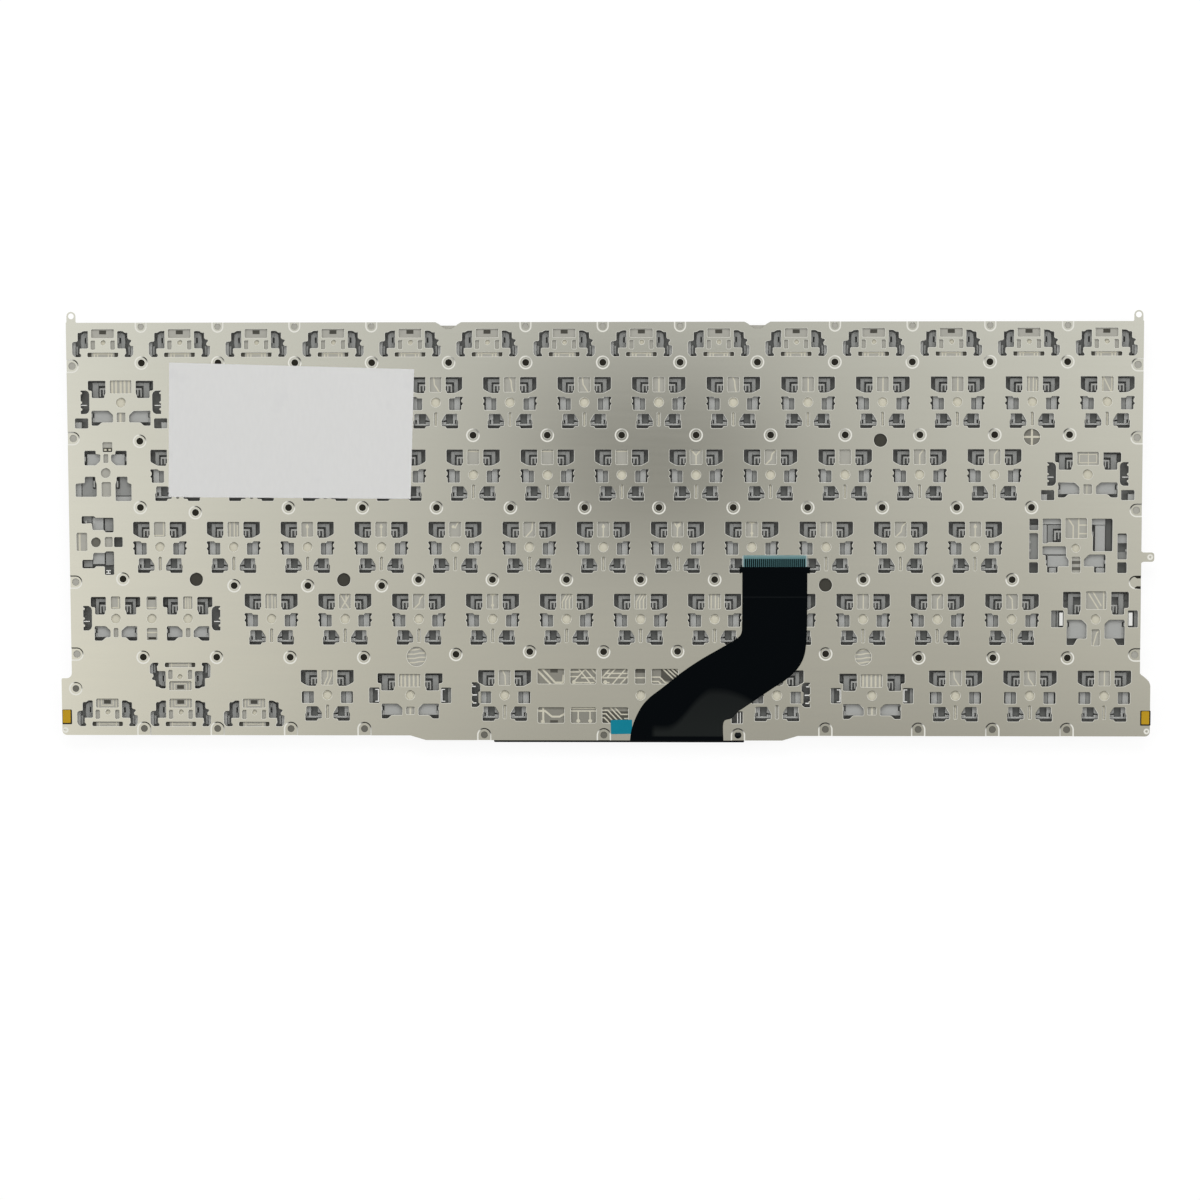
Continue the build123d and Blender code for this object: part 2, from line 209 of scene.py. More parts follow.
def plate_metal():
    """Satin rolled sheet: a faint grain along X and a warm, uneven sheen, with a painted highlight in a
    paler colour on its sloped faces.
    """
    finish = Finish("plate_metal")
    clouds = finish.noise(22.0, 3.0)
    grain = finish.noise(900.0, 2.0, (0.06, 1.0, 1.0))
    speck = finish.noise(2600.0, 1.0)
    rear = finish.along(1).above(10.0, 90.0)
    cool = finish.blend(clouds, (0.595, 0.592, 0.515, 1), (0.645, 0.642, 0.565, 1))
    warm = finish.blend(clouds, (0.625, 0.602, 0.495, 1), (0.675, 0.652, 0.545, 1))
    colour = finish.blend((grain - 0.5) * 0.4 + 0.2, finish.blend(rear, warm, cool),
                          (0.59, 0.578, 0.495, 1))
    # Sloped faces of seats, bevels and dimples take a paler colour: a painted highlight.
    wall_highlight = finish.mark("wall")
    colour = finish.blend(wall_highlight, colour, (0.79, 0.782, 0.715, 1))
    normal = finish.bump(grain * 0.7 + speck * 0.3, 0.02, 0.00004)
    rough = 0.062 + grain * 0.025 + clouds * 0.02
    return finish.done(Base_Color=colour, Metallic=1.0, Roughness=rough, Normal=normal)


def bare_metal():
    """Bent metal of the hooks, darker than the plate as painted shade, and the stabiliser bars by their
    tone, brighter: partly their own steel and partly a painted highlight.
    """
    finish = Finish("hook_metal")
    bright = finish.mark("tone")
    scratch = finish.noise(1500.0, 2.0, (1.0, 0.15, 1.0))
    shaded_hook = finish.blend(scratch, (0.33, 0.332, 0.312, 1), (0.43, 0.432, 0.41, 1))
    bar_steel_and_highlight = finish.blend(scratch, (0.78, 0.78, 0.75, 1), (0.9, 0.9, 0.87, 1))
    normal = finish.bump(scratch, 0.15, 0.00003)
    rough = 0.5 + scratch * 0.1 - bright * 0.2
    return finish.done(Base_Color=finish.blend(bright, shaded_hook, bar_steel_and_highlight), Metallic=0.75, Roughness=rough,
                       Normal=normal)


def contact_film():
    """Hazy grey polyester of the contact sheet, with faint flow marks."""
    finish = Finish("contact_film")
    haze = finish.noise(260.0, 3.0)
    marks = finish.noise(1700.0, 2.0, (0.3, 1.0, 1.0))
    colour = finish.blend(haze, (0.325, 0.32, 0.282, 1), (0.40, 0.392, 0.345, 1))
    normal = finish.bump(marks, 0.1, 0.00003)
    return finish.done(Base_Color=colour, Roughness=0.32 + marks * 0.14, Normal=normal, Coat_Weight=0.3)


def trace_ink():
    """Pale silver ink of the printed traces."""
    finish = Finish("trace_ink")
    grain = finish.noise(5200.0, 2.0)
    colour = finish.blend(grain, (0.535, 0.512, 0.41, 1), (0.61, 0.586, 0.48, 1))
    return finish.done(Base_Color=colour, Roughness=0.5, Normal=finish.bump(grain, 0.2, 0.00002))


def black_ink():
    """Dark print in the windows, and dark spots of painted shade under the screw holes and dots, in slits
    and around the side tapes; from black to grey by each spot's tone.
    """
    finish = Finish("black_ink")
    tone = finish.mark("tone")
    grain = finish.noise(3100.0, 2.0)
    deep = finish.blend(grain, (0.0145, 0.0135, 0.0095, 1), (0.02, 0.0185, 0.0135, 1))
    grey = finish.blend(grain, (0.228, 0.222, 0.19, 1), (0.26, 0.252, 0.218, 1))
    rough = 0.6 + grain * 0.2
    return finish.done(Base_Color=finish.blend(tone, deep, grey), Roughness=rough, Specular_IOR_Level=0.12)


def link_plastic():
    """Moulded links and domes: grey by each piece's own tone, with a fine moulded grain; the dark tones of
    the deep pieces and the well floors are partly painted shade.
    """
    finish = Finish("link_plastic")
    tone = finish.mark("tone")
    grain = finish.noise(2400.0, 2.0)
    pale = finish.blend(grain, (0.335, 0.34, 0.326, 1), (0.385, 0.39, 0.376, 1))
    deep = finish.blend(grain, (0.055, 0.058, 0.054, 1), (0.075, 0.078, 0.073, 1))
    normal = finish.bump(grain, 0.12, 0.00004)
    return finish.done(Base_Color=finish.blend(tone, deep, pale), Roughness=0.42 + grain * 0.12,
                       Normal=normal)


def key_plastic():
    """Black matt keys with a fine spark-eroded grain, shinier where fingers rub; their hollow backs are
    grey, partly the keys' own plastic and partly painted light in the shaded hollows.
    """
    finish = Finish("key_plastic")
    grain = finish.noise(3600.0, 2.0)
    rubbed = finish.noise(70.0, 2.0)
    colour = finish.blend(rubbed, (0.018, 0.018, 0.019, 1), (0.028, 0.028, 0.029, 1))
    # Hollow backs by tone: grey, partly the keys' own plastic and partly painted light.
    back = finish.mark("tone")
    colour = finish.blend(back, colour, finish.blend(grain, (0.21, 0.212, 0.2, 1), (0.26, 0.262, 0.25, 1)))
    normal = finish.bump(grain, 0.2, 0.00005)
    return finish.done(Base_Color=colour, Roughness=0.5 - rubbed * 0.16 + grain * 0.1, Normal=normal)


def ribbon_film():
    """Black film of the ribbon, paler and duller where its second layer lies beneath."""
    finish = Finish("ribbon_film")
    x, y = finish.along(0), finish.along(1)
    wave = finish.noise(60.0, 2.0)
    dust = finish.noise(2200.0, 2.0)
    rise = x.above(22.0, 12.0)
    past = (x - 29.0).at_least(0.0)
    edge = rise * rise * (3.0 - rise * 2.0) * 9.8 - past * past * 0.035 - 52.4
    layer = (1 - (y - edge + wave * 0.8).above(0.5, 2.0)) * x.above(12.8, 1.2) * y.above(-54.3, 0.4)
    patch = finish.blend(y.above(-47.5, 9.0), (0.0125, 0.0145, 0.014, 1), (0.0098, 0.0113, 0.0112, 1))
    colour = finish.blend(layer, (0.0008, 0.0016, 0.0023, 1), patch)
    crease = 1 - (y + 18.2).size().above(0.12, 0.16)
    colour = finish.blend(crease * 0.5, colour, (0.012, 0.014, 0.015, 1))
    normal = finish.bump(wave * 0.9 + dust * 0.1, 0.08, 0.0002)
    rough = 0.22 + dust * 0.1 + layer * 0.2
    return finish.done(Base_Color=colour, Roughness=rough, Normal=normal, Specular_IOR_Level=0.03)


def contact_strip():
    """Teal stiffener at the ribbon's end, paler towards its free edge and its two ends."""
    finish = Finish("contact_strip")
    x, y = finish.along(0), finish.along(1)
    grain = finish.noise(900.0, 2.0, (1.0, 0.2, 1.0))
    colour = finish.blend(y.above(-8.0, 1.1), (0.07, 0.165, 0.175, 1), (0.2, 0.31, 0.31, 1))
    colour = finish.blend(grain * 0.3, colour, (0.05, 0.17, 0.19, 1))
    ends = (x - 44.0).size().above(8.0, 0.3)
    colour = finish.blend(ends * 0.8, colour, (0.42, 0.47, 0.46, 1))
    return finish.done(Base_Color=colour, Roughness=0.4 + grain * 0.15, Specular_IOR_Level=0.15)


def finger_carbon():
    """Dark carbon print of the ribbon's contact fingers."""
    finish = Finish("finger_carbon")
    grain = finish.noise(4000.0, 2.0)
    colour = finish.blend(grain, (0.002, 0.006, 0.006, 1), (0.005, 0.011, 0.012, 1))
    return finish.done(Base_Color=colour, Roughness=0.5 + grain * 0.2, Specular_IOR_Level=0.05)


def label_paper():
    """Matt coated paper with fine fibres and a few faint smudges."""
    finish = Finish("label_paper")
    fibre = finish.noise(1300.0, 4.0, (1.0, 0.35, 1.0))
    smudge = finish.noise(95.0, 3.0)
    colour = finish.blend(fibre, (0.64, 0.64, 0.63, 1), (0.68, 0.68, 0.67, 1))
    colour = finish.blend(smudge.above(0.68, 0.12) * 0.3, colour, (0.54, 0.54, 0.55, 1))
    return finish.done(Base_Color=colour, Roughness=0.7 + fibre * 0.15,
                       Normal=finish.bump(fibre, 0.1, 0.00004))


def tape(name, first, second):
    """Coloured film tape with a slightly uneven gloss."""
    finish = Finish(name)
    wave = finish.noise(420.0, 2.0)
    colour = finish.blend(wave, first, second)
    normal = finish.bump(wave, 0.2, 0.00008)
    return finish.done(Base_Color=colour, Roughness=0.3 + wave * 0.15, Normal=normal,
                       Specular_IOR_Level=0.2)


metal = plate_metal()
hook_metal = bare_metal()
film = contact_film()
ink = trace_ink()
black = black_ink()
plastic = link_plastic()
key_black = key_plastic()
ribbon_black = ribbon_film()
strip_teal = contact_strip()
carbon = finger_carbon()
paper = label_paper()
teal = tape("teal_tape", (0.0, 0.18, 0.255, 1), (0.002, 0.21, 0.29, 1))
amber = tape("amber_tape", (0.43, 0.255, 0.008, 1), (0.50, 0.30, 0.014, 1))


# ---- Plane shapes, in millimetres, counter-clockwise ----


def box(x0, y0, x1, y1):
    """A rectangle between two corners."""
    left, right = min(x0, x1), max(x0, x1)
    low, high = min(y0, y1), max(y0, y1)
    return [(left, low), (right, low), (right, high), (left, high)]


def disc(radius, x=0.0, y=0.0, sides=24):
    """A round loop."""
    angles = [2 * pi * i / sides for i in range(sides)]
    return [(x + radius * cos(a), y + radius * sin(a)) for a in angles]


def area(loop):
    """The area of a loop, positive where it runs counter-clockwise."""
    return sum(a[0] * b[1] - b[0] * a[1] for a, b in zip(loop, loop[1:] + loop[:1])) / 2


def turned(loop):
    """The loop, counter-clockwise."""
    return loop if area(loop) > 0 else loop[::-1]


def both(*loops):
    """The loops and their mirror images in the centre line."""
    return [turned(loop) for loop in loops] + [turned([(-x, y) for x, y in loop]) for loop in loops]


def flipped(loops):
    """The loops turned by half a turn."""
    return [[(-x, -y) for x, y in loop] for loop in loops]


def moved(loops, dx, dy=0.0):
    """The loops carried along X and Y."""
    return [[(x + dx, y + dy) for x, y in loop] for loop in loops]


def offset(loop, distance):
    """The loop grown outwards, or shrunk by a negative distance, its corners kept sharp."""
    wider = []
    for before, here, after in zip(loop[-1:] + loop[:-1], loop, loop[1:] + loop[:1]):
        first = Vector((here[1] - before[1], before[0] - here[0])).normalized()
        second = Vector((after[1] - here[1], here[0] - after[0])).normalized()
        shift = (first + second) * (distance / max(0.3, 1 + first.dot(second)))
        wider.append((here[0] + shift.x, here[1] + shift.y))
    return wider


def eased(loop, radius, steps=1):
    """The loop with its corners cut back, on an arc where there are more steps."""
    soft = []
    for before, here, after in zip(loop[-1:] + loop[:-1], loop, loop[1:] + loop[:1]):
        corner, back, on = Vector(here), Vector(before), Vector(after)
        reach = min(radius, (corner - back).length * 0.42, (on - corner).length * 0.42)
        start = corner + (back - corner).normalized() * reach
        end = corner + (on - corner).normalized() * reach
        for i in range(steps + 1):
            t = i / steps
            soft.append(tuple(start * (1 - t) ** 2 + corner * 2 * t * (1 - t) + end * t ** 2))
    return soft


def smooth_line(points, steps):
    """A line through the points, rounded between them."""
    line = []
    for i in range(len(points) - 1):
        p0, p1 = Vector(points[max(i - 1, 0)]), Vector(points[i])
        p2, p3 = Vector(points[i + 1]), Vector(points[min(i + 2, len(points) - 1)])
        for k in range(steps):
            t = k / steps
            curve = p0 * 2 - p1 * 5 + p2 * 4 - p3 + (p1 * 3 - p0 - p2 * 3 + p3) * t
            line.append(p1 + ((p2 - p0) + curve * t) * (t / 2))
    return line + [Vector(points[-1])]


# ---- Solid shapes ----


class Shape:
    """Points and faces in millimetres, gathered before they become a mesh."""

    def __init__(self):
        self.points = []
        self.faces = []
        self.edges = []
        self.tones = []

    def ring(self, loop, z, tone=0.0):
        """Adds a loop of points at a height and returns their numbers."""
        start = len(self.points)
        self.points += [(x, y, z) for x, y in loop]
        self.tones += [tone] * len(loop)
        return list(range(start, start + len(loop)))

    def point(self, x, y, z):
        """Adds one point and returns its number."""
        return self.ring([(x, y)], z)[0]

    def strip(self, low, high):
        """Faces between two rings, outwards where the rings run counter-clockwise and rise."""
        for a, b, c, d in zip(low, low[1:] + low[:1], high[1:] + high[:1], high):
            self.faces.append((a, b, c, d))

    def open_strip(self, low, high):
        """Faces between two open lines of points."""
        for a, b, c, d in zip(low, low[1:], high[1:], high):
            self.faces.append((a, b, c, d))

    def stack(self, rings):
        """Strips through a row of rings."""
        for low, high in zip(rings, rings[1:]):
            self.strip(low, high)

    def outline(self, loop):
        """A closed loop of edges at height 0, for filling."""
        ring = self.ring(loop, 0.0)
        self.edges += list(zip(ring, ring[1:] + ring[:1]))

    def prism(self, loop, low, high, edge=0.05, tone=0.0):
        """An upright solid on a loop, its upper edge broken."""
        loop = turned(loop)
        rings = [self.ring(loop, low, tone), self.ring(loop, high - edge, tone),
                 self.ring(offset(loop, -edge), high, tone)]
        self.stack(rings)
        self.faces.append(tuple(rings[0][::-1]))
        self.faces.append(tuple(rings[-1]))

    def floor(self, outer, z, hole=None):
        """An upward face inside a loop, around a hole where one is given."""
        loops = [outer] + ([hole] if hole else [])
        ring = self.ring([p for loop in loops for p in loop], z)
        for face in tessellate_polygon([[Vector((x, y, 0)) for x, y in loop] for loop in loops]):
            a, b, c = (Vector(self.points[ring[i]]) for i in face)
            up = (b - a).cross(c - a).z > 0
            self.faces.append(tuple(ring[i] for i in (face if up else face[::-1])))

    def mesh(self, name, smooth=None):
        """The shape as a mesh in metres, smooth up to an angle where one is given."""
        mesh = bpy.data.meshes.new(name)
        mesh.from_pydata([(x * MM, y * MM, z * MM) for x, y, z in self.points], self.edges, self.faces)
        mesh.attributes.new("tone", "FLOAT", "POINT").data.foreach_set("value", self.tones)
        if smooth is not None:
            mesh.shade_smooth()
            mesh.set_sharp_from_angle(angle=radians(smooth))
        return mesh


def piece(name, mesh, body, material, slot, *nodes):
    """An object of the keyboard that rides a body, with its finish and the CAD nodes that it stands for."""
    made = bpy.data.objects.new(name, mesh)
    bpy.context.scene.collection.objects.link(made)
    if material:
        mesh.materials.clear()
        mesh.materials.append(material)
    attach(made, body)
    if nodes:
        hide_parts(*nodes)
    return made


# ---- Geometry nodes ----


class Tree(Nodes):
    """A geometry tree with named inputs."""

    def __init__(self, name, inputs):
        tree = bpy.data.node_groups.new(name, "GeometryNodeTree")
        super().__init__(tree)
        tree.interface.new_socket("Spots", in_out="INPUT", socket_type="NodeSocketGeometry")
        for label, kind in inputs.items():
            tree.interface.new_socket(label, in_out="INPUT", socket_type=kind)
        tree.interface.new_socket("Piece", in_out="OUTPUT", socket_type="NodeSocketGeometry")
        self.given = tree.nodes.new("NodeGroupInput")

    def value(self, label):
        """One of the tree's inputs."""
        return Socket(self, self.given.outputs[label])

    def placed(self, label):
        """The shapes of a collection on the spots, each by the spot's kind and turn, made real."""
        options = {"Collection": self.value(label), "Separate Children": True, "Reset Children": True}
        shapes = self.add("GeometryNodeCollectionInfo", None, options)
        kind = self.add("GeometryNodeInputNamedAttribute", {"data_type": "INT"}, {"Name": "kind"})
        turn = self.add("GeometryNodeInputNamedAttribute", {"data_type": "FLOAT_VECTOR"}, {"Name": "turn"})
        spin = self.add("FunctionNodeEulerToRotation", None, {0: turn})
        inputs = {"Points": self.value("Spots"), "Instance": shapes, "Pick Instance": True}
        inputs.update({"Instance Index": kind, "Rotation": spin})
        placed = self.add("GeometryNodeInstanceOnPoints", None, inputs)
        return self.add("GeometryNodeRealizeInstances", None, {0: placed})

    def close(self, geometry):
        """Ends the tree with the piece's material."""
        inputs = {"Geometry": geometry, "Material": self.value("Finish")}
        done = self.add("GeometryNodeSetMaterial", None, inputs)
        self.add("NodeGroupOutput", None, {0: done})
        return self.tree

    def lifted(self, geometry, height):
        """The geometry raised by a height."""
        raised = self.add("ShaderNodeCombineXYZ", None, {"Z": height})
        return self.add("GeometryNodeSetPosition", None, {"Geometry": geometry, "Offset": raised})


def stamped_tree():
    """A sheet filled between the loops of its upper and lower face, closed by the walls of each opening."""
    sockets = {"Rims": "NodeSocketCollection", "Feet": "NodeSocketCollection",
               "Walls": "NodeSocketCollection"}
    sockets.update({"Top": "NodeSocketFloat", "Underside": "NodeSocketFloat",
                    "Finish": "NodeSocketMaterial"})
    tree = Tree("stamped_sheet", sockets)
    faces = []
    for label, height in (("Rims", "Top"), ("Feet", "Underside")):
        lines = tree.add("GeometryNodeMeshToCurve", None, {0: tree.placed(label)})
        face = tree.add("GeometryNodeFillCurve", None, {"Curve": lines})
        faces.append(tree.lifted(face, tree.value(height)))
    faces[1] = tree.add("GeometryNodeFlipFaces", None, {0: faces[1]})
    whole = tree.add("GeometryNodeJoinGeometry", None, {0: faces + [tree.placed("Walls")]})
    merged = tree.add("GeometryNodeMergeByDistance", None, {"Geometry": whole, "Distance": 0.000002})
    return tree.close(merged)


def set_out_tree():
    """Small solid shapes set out on their spots."""
    tree = Tree("set_out", {"Shapes": "NodeSocketCollection", "Finish": "NodeSocketMaterial"})
    return tree.close(tree.placed("Shapes"))


def comb_tree():
    """A row of equal fingers along X."""
    sockets = {"Count": "NodeSocketInt", "Pitch": "NodeSocketFloat", "Finish": "NodeSocketMaterial"}
    tree = Tree("comb", sockets)
    step = tree.add("ShaderNodeCombineXYZ", None, {"X": tree.value("Pitch")})
    line = tree.add("GeometryNodeMeshLine", None, {"Count": tree.value("Count"), "Offset": step})
    inputs = {"Points": line, "Instance": tree.value("Spots")}
    fingers = tree.add("GeometryNodeInstanceOnPoints", None, inputs)
    return tree.close(tree.add("GeometryNodeRealizeInstances", None, {0: fingers}))


stamped_sheet = stamped_tree()
set_out = set_out_tree()
comb = comb_tree()


def shelf(name, shapes):
    """A hidden collection of shapes, numbered in the order given."""
    collection = bpy.data.collections.new(name)
    bpy.context.scene.collection.children.link(collection)
    for i, mesh in enumerate(shapes):
        collection.objects.link(bpy.data.objects.new(f"{name}_{i:03d}", mesh))
    return collection


def clear_shelf(collection):
    """Removes a hidden collection with its shapes."""
    for shape in list(collection.objects):
        bpy.data.objects.remove(shape)
    bpy.data.collections.remove(collection)


def spots_mesh(spots):
    """Points with the number of their shape and their turn: (kind, x, y, turn in degrees)."""
    mesh = bpy.data.meshes.new("spots")
    mesh.from_pydata([(x * MM, y * MM, 0) for _, x, y, _ in spots], [], [])
    mesh.attributes.new("kind", "INT", "POINT").data.foreach_set("value", [spot[0] for spot in spots])
    turns = [angle for spot in spots for angle in (0.0, 0.0, radians(spot[3]))]
    mesh.attributes.new("turn", "FLOAT_VECTOR", "POINT").data.foreach_set("vector", turns)
    return mesh


def grown(tree, mesh, **values):
    """The plain mesh that a tree makes from a mesh, its inputs set by their identifiers."""
    source = bpy.data.objects.new("source", mesh)
    bpy.context.scene.collection.objects.link(source)
    modifier = source.modifiers.new("grow", "NODES")
    modifier.node_group = tree
    for item in tree.interface.items_tree:
        if item.in_out == "INPUT" and item.name in values:
            modifier[item.identifier] = values[item.name]
    graph = bpy.context.evaluated_depsgraph_get()
    made = bpy.data.meshes.new_from_object(source.evaluated_get(graph), depsgraph=graph)
    source.modifiers.remove(modifier)
    bpy.data.objects.remove(source)
    return made


def laid_out(name, shapes, spots, finish):
    """The plain mesh of shapes set out on their spots."""
    stock = shelf(name, shapes)
    mesh = grown(set_out, spots_mesh(spots), Shapes=stock, Finish=finish)
    clear_shelf(stock)
    return mesh


# ---- Cut-outs of the plate, beside each key's hub ----
# through: openings that go through the plate and the contact sheet; windows: openings of the plate alone;
# pale, mid: scissor links seen in the openings; deep: dark pieces low in the openings, partly link plastic
# and partly painted shade; hooks: bent metal of the plate in the openings, darkened as painted shade;
# bars: stabiliser bars of the wide keys, bright partly as a painted highlight.

upper_hole = [(2.6, 6.45), (6.85, 6.45), (6.85, 3.4), (5.05, 2.4), (2.85, 2.35), (2.85, 2.95), (2.6, 3.0)]
middle_hole = [(3.45, 1.0), (4.85, 1.0), (4.95, 1.4), (6.95, 1.4), (6.95, 0.95), (6.6, 0.75), (6.6, -0.1),
               (6.95, -0.2), (6.95, -0.6), (6.6, -0.7), (6.6, -2.0), (3.45, -2.0)]
lower_hole = [(2.55, -3.0), (5.5, -3.0), (5.5, -4.6), (5.75, -4.8), (5.75, -6.7), (2.65, -6.7),
              (2.65, -6.15), (1.5, -6.1), (1.5, -4.7)]
letter_links = {
    "pale": both(box(4.7, -2.4, 6.25, 1.6), box(4.35, -4.6, 5.75, -2.9), box(4.35, -5.55, 4.95, -4.6),
                 box(1.3, -6.0, 5.9, -5.55), [(1.3, -4.5), (1.3, -4.95), (2.6, -4.6), (2.6, -2.8)],
                 box(1.3, -5.55, 2.6, -5.1)),
    "mid": both(box(2.5, 5.05, 4.7, 5.95), box(4.7, 2.2, 5.7, 5.95), box(3.2, -2.2, 4.6, 1.3)),
    "deep": both(box(2.65, -5.5, 4.3, -2.9)),
}
letter_hooks = both([(2.55, 4.6), (2.55, 4.15), (2.95, 4.15), (2.95, 2.8), (3.33, 2.8), (3.33, 4.15),
                     (3.86, 4.15), (3.86, 2.6), (4.22, 2.6), (4.22, 4.6)], box(5.3, -5.5, 5.55, -4.6))

half_right = [(3.8, 3.3), (5.0, 3.3), (5.6, 2.85), (6.4, 2.85), (6.4, 1.2), (7.35, 0.95), (7.35, 0.5),
              (6.95, 0.35), (6.95, -0.5), (7.85, -0.6), (7.85, -2.6), (7.3, -3.35), (5.6, -3.35),
              (5.6, -2.8), (5.95, -2.55), (5.95, -1.15), (3.8, -1.15)]
half_left = [(-3.8, 3.3), (-5.0, 3.3), (-5.6, 2.85), (-6.4, 2.85), (-6.4, 0.65), (-7.6, 0.5), (-7.85, 0.2),
             (-7.85, -2.6), (-7.2, -3.35), (-5.6, -3.35), (-5.6, -2.8), (-5.95, -2.55), (-5.95, -1.15),
             (-3.8, -1.15)]

guide_slot = [(9.0, 3.1), (8.4, 2.75), (8.12, 2.1), (8.12, -1.9), (8.4, -2.55), (9.0, -2.9), (10.35, -2.9),
              (10.35, -2.1), (9.95, -1.95), (9.95, -1.5), (10.35, -1.35), (10.35, -0.3), (9.98, -0.15),
              (9.98, 0.25), (10.35, 0.4), (10.35, 2.1), (9.95, 2.25), (9.95, 2.65), (10.35, 2.8),
              (10.35, 3.1)]


def hinge_holes(inner, head, neck, top, step, low):
    """The stepped upper opening of a wide key's scissor."""
    return both([(inner, top), (head, top), (head, step + 0.2), (head - 0.3, step), (neck, step),
                 (neck, low), (inner + 0.3, low), (inner + 0.3, low + 0.7), (inner, low + 1.1)])


def foot_holes(inner, outer, top, low, foot_in, foot_low):
    """The lower opening of a wide key's scissor, with its foot."""
    return both([(inner + 1.2, top), (outer, top), (outer, foot_low), (foot_in + 0.9, foot_low),
                 (foot_in, low), (inner, low), (inner, top - 1.1)])


def hinge_links(inner, head, neck, top, low, foot_inner, foot_outer, foot_top, foot_low):
    """Scissor links behind a wide key's openings, and dark deep pieces that are partly painted shade."""
    bend, slit = inner + 1.9, foot_outer - 0.62
    pale = both(box(foot_inner - 0.2, foot_low - 0.05, slit, foot_top + 0.2),
                box(slit, foot_top - 0.55, foot_outer - 0.12, foot_top + 0.2),
                box(slit, foot_low - 0.05, foot_outer - 0.12, foot_top - 1.85))
    mid = both(box(bend, low - 0.3, neck - 0.12, top - 0.5), box(inner - 0.2, top - 1.35, bend, top - 0.5))
    deep = both(box(neck, top - 2.2, head - 0.15, top - 0.6))
    return {"pale": pale, "mid": mid, "deep": deep}


def hinge_hooks(inner, low, foot_outer, foot_top):
    """Bent hooks beside a wide key's openings."""
    x, y = inner, low
    return both([(x, y + 2.5), (x, y + 2.1), (x + 0.35, y + 2.1), (x + 0.35, y + 0.6), (x + 0.68, y + 0.6),
                 (x + 0.68, y + 2.1), (x + 1.2, y + 2.1), (x + 1.2, y + 0.3), (x + 1.52, y + 0.3),
                 (x + 1.52, y + 2.5)],
                box(foot_outer - 0.26, foot_top - 1.7, foot_outer + 0.02, foot_top - 0.7))


def wide_set(hinge, foot, sides, windows):
    """A wide key's cut-outs from its hinge and foot sizes, with its side openings and windows."""
    inner, head, neck, top, _, low = hinge
    return {
        "through": hinge_holes(*hinge) + foot_holes(*foot) + sides,
        "windows": windows,
        "hooks": hinge_hooks(inner, low, *foot[1:3]),
        **hinge_links(inner, head, neck, top, low, *foot[:4]),
    }


SPACE_REACH, SHIFT_REACH = 35.1, 9.35
wide_hinge = (3.9, 8.4, 7.45, 5.6, 3.1, 1.2)
wide_foot = (2.1, 7.6, -2.1, -5.05, 5.0, -5.9)
command_foot = (2.1, 7.4, -2.3, -5.2, 4.9, -6.1)
shift_hinge = (3.9, 8.4, 7.2, 7.0, 2.9, 1.2)
shift_foot = (2.3, 7.4, -0.2, -5.0, 4.7, -6.7)
slim_hinge = (2.5, 6.4, 5.3, 5.6, 3.0, 1.1)
slim_foot = (1.45, 5.5, -2.0, -4.8, 2.6, -5.7)
side_bar_slot = box(7.95, -2.05, 10.6, 1.9)
guide_bars = both(box(8.7, -0.8, 10.3, -0.58))
side_bars = both([(8.05, 1.6), (8.05, -1.75), (9.05, -1.75), (9.05, -1.5), (8.35, -1.5), (8.35, 1.35),
                  (9.05, 1.35), (9.05, 1.6)])
side_floors = both(box(7.7, -2.3, 11.6, 2.4))
corner_pads = both(box(10.3, -6.75, 12.0, -5.1))

letter = {
    "through": both(upper_hole, middle_hole, lower_hole),
    "windows": [box(-1.5, 2.65, 1.5, 6.4), box(-0.4, -6.1, 0.4, -2.6), disc(1.22)],
    "hooks": letter_hooks,
    **letter_links,
}
plain_middle = both(box(3.5, -2.1, 6.6, 0.9))
plain_letter = dict(letter, through=both(upper_hole, lower_hole) + plain_middle)
half = {
    "through": [turned(half_right), turned(half_left)],
    "windows": [box(-2.9, 1.5, 2.9, 3.75), box(-3.95, -3.35, 3.95, -2.25),
                *both(box(2.0, -1.45, 3.1, 0.85)), disc(0.65, 0.1, 0.3, 16)],
    "pale": both(box(7.1, -3.5, 8.0, 0.35)),
    "mid": both(box(3.6, -1.3, 4.22, 2.75), box(4.22, -1.3, 4.66, 0.1), box(4.22, 1.5, 4.66, 2.75),
                [(4.66, -1.3), (5.6, -1.3), (5.75, 0.5), (5.6, 2.3), (4.9, 2.75), (4.66, 2.75)],
                box(6.45, -2.9, 6.95, -0.7)),
    "deep": [],
    "hooks": both(box(3.88, 0.15, 4.14, 1.55), box(5.6, -2.55, 6.05, -2.0)),
}
half_turned = {name: flipped(loops) for name, loops in half.items()}
delete = wide_set(wide_hinge, wide_foot, both(guide_slot, box(8.5, -6.6, 11.9, -4.05)),
                  [box(-2.75, 2.4, 2.75, 5.7), box(-1.1, -5.0, 1.1, -2.6), disc(1.25)])
delete["pale"] += corner_pads
delete["bars"] = guide_bars
command = wide_set(wide_hinge, command_foot, both(side_bar_slot),
                   [box(-2.9, 2.2, 2.6, 5.4), box(-1.1, -5.0, 1.1, -3.1), disc(1.2)])
command["bars"] = side_bars
command["deep"] += side_floors
command["mid"] += both(box(9.75, -2.3, 10.9, 2.2))
shift_left = wide_set(shift_hinge, shift_foot, [box(8.2, -2.1, 10.75, 2.2), box(-11.4, -2.1, -8.2, 2.2)],
                      [box(-2.5, 2.6, 2.7, 7.1), box(-1.0, -6.8, 1.1, -2.7), disc(1.2)])
shift_left["bars"] = [box(-9.3, -1.7, -8.4, 1.7), box(8.35, -1.7, 9.4, 1.7)]
shift_left["deep"] += side_floors
shift_left["mid"] += [box(9.85, -2.3, 10.9, 2.4), box(-11.5, -2.3, -10.15, 2.4),
                      box(-9.95, -2.3, -9.5, 2.4)]


def twinned(cutouts, reach):
    """A set of cut-outs twice, on both sides of the hub."""
    return {name: moved(loops, -reach) + moved(loops, reach) for name, loops in cutouts.items()}


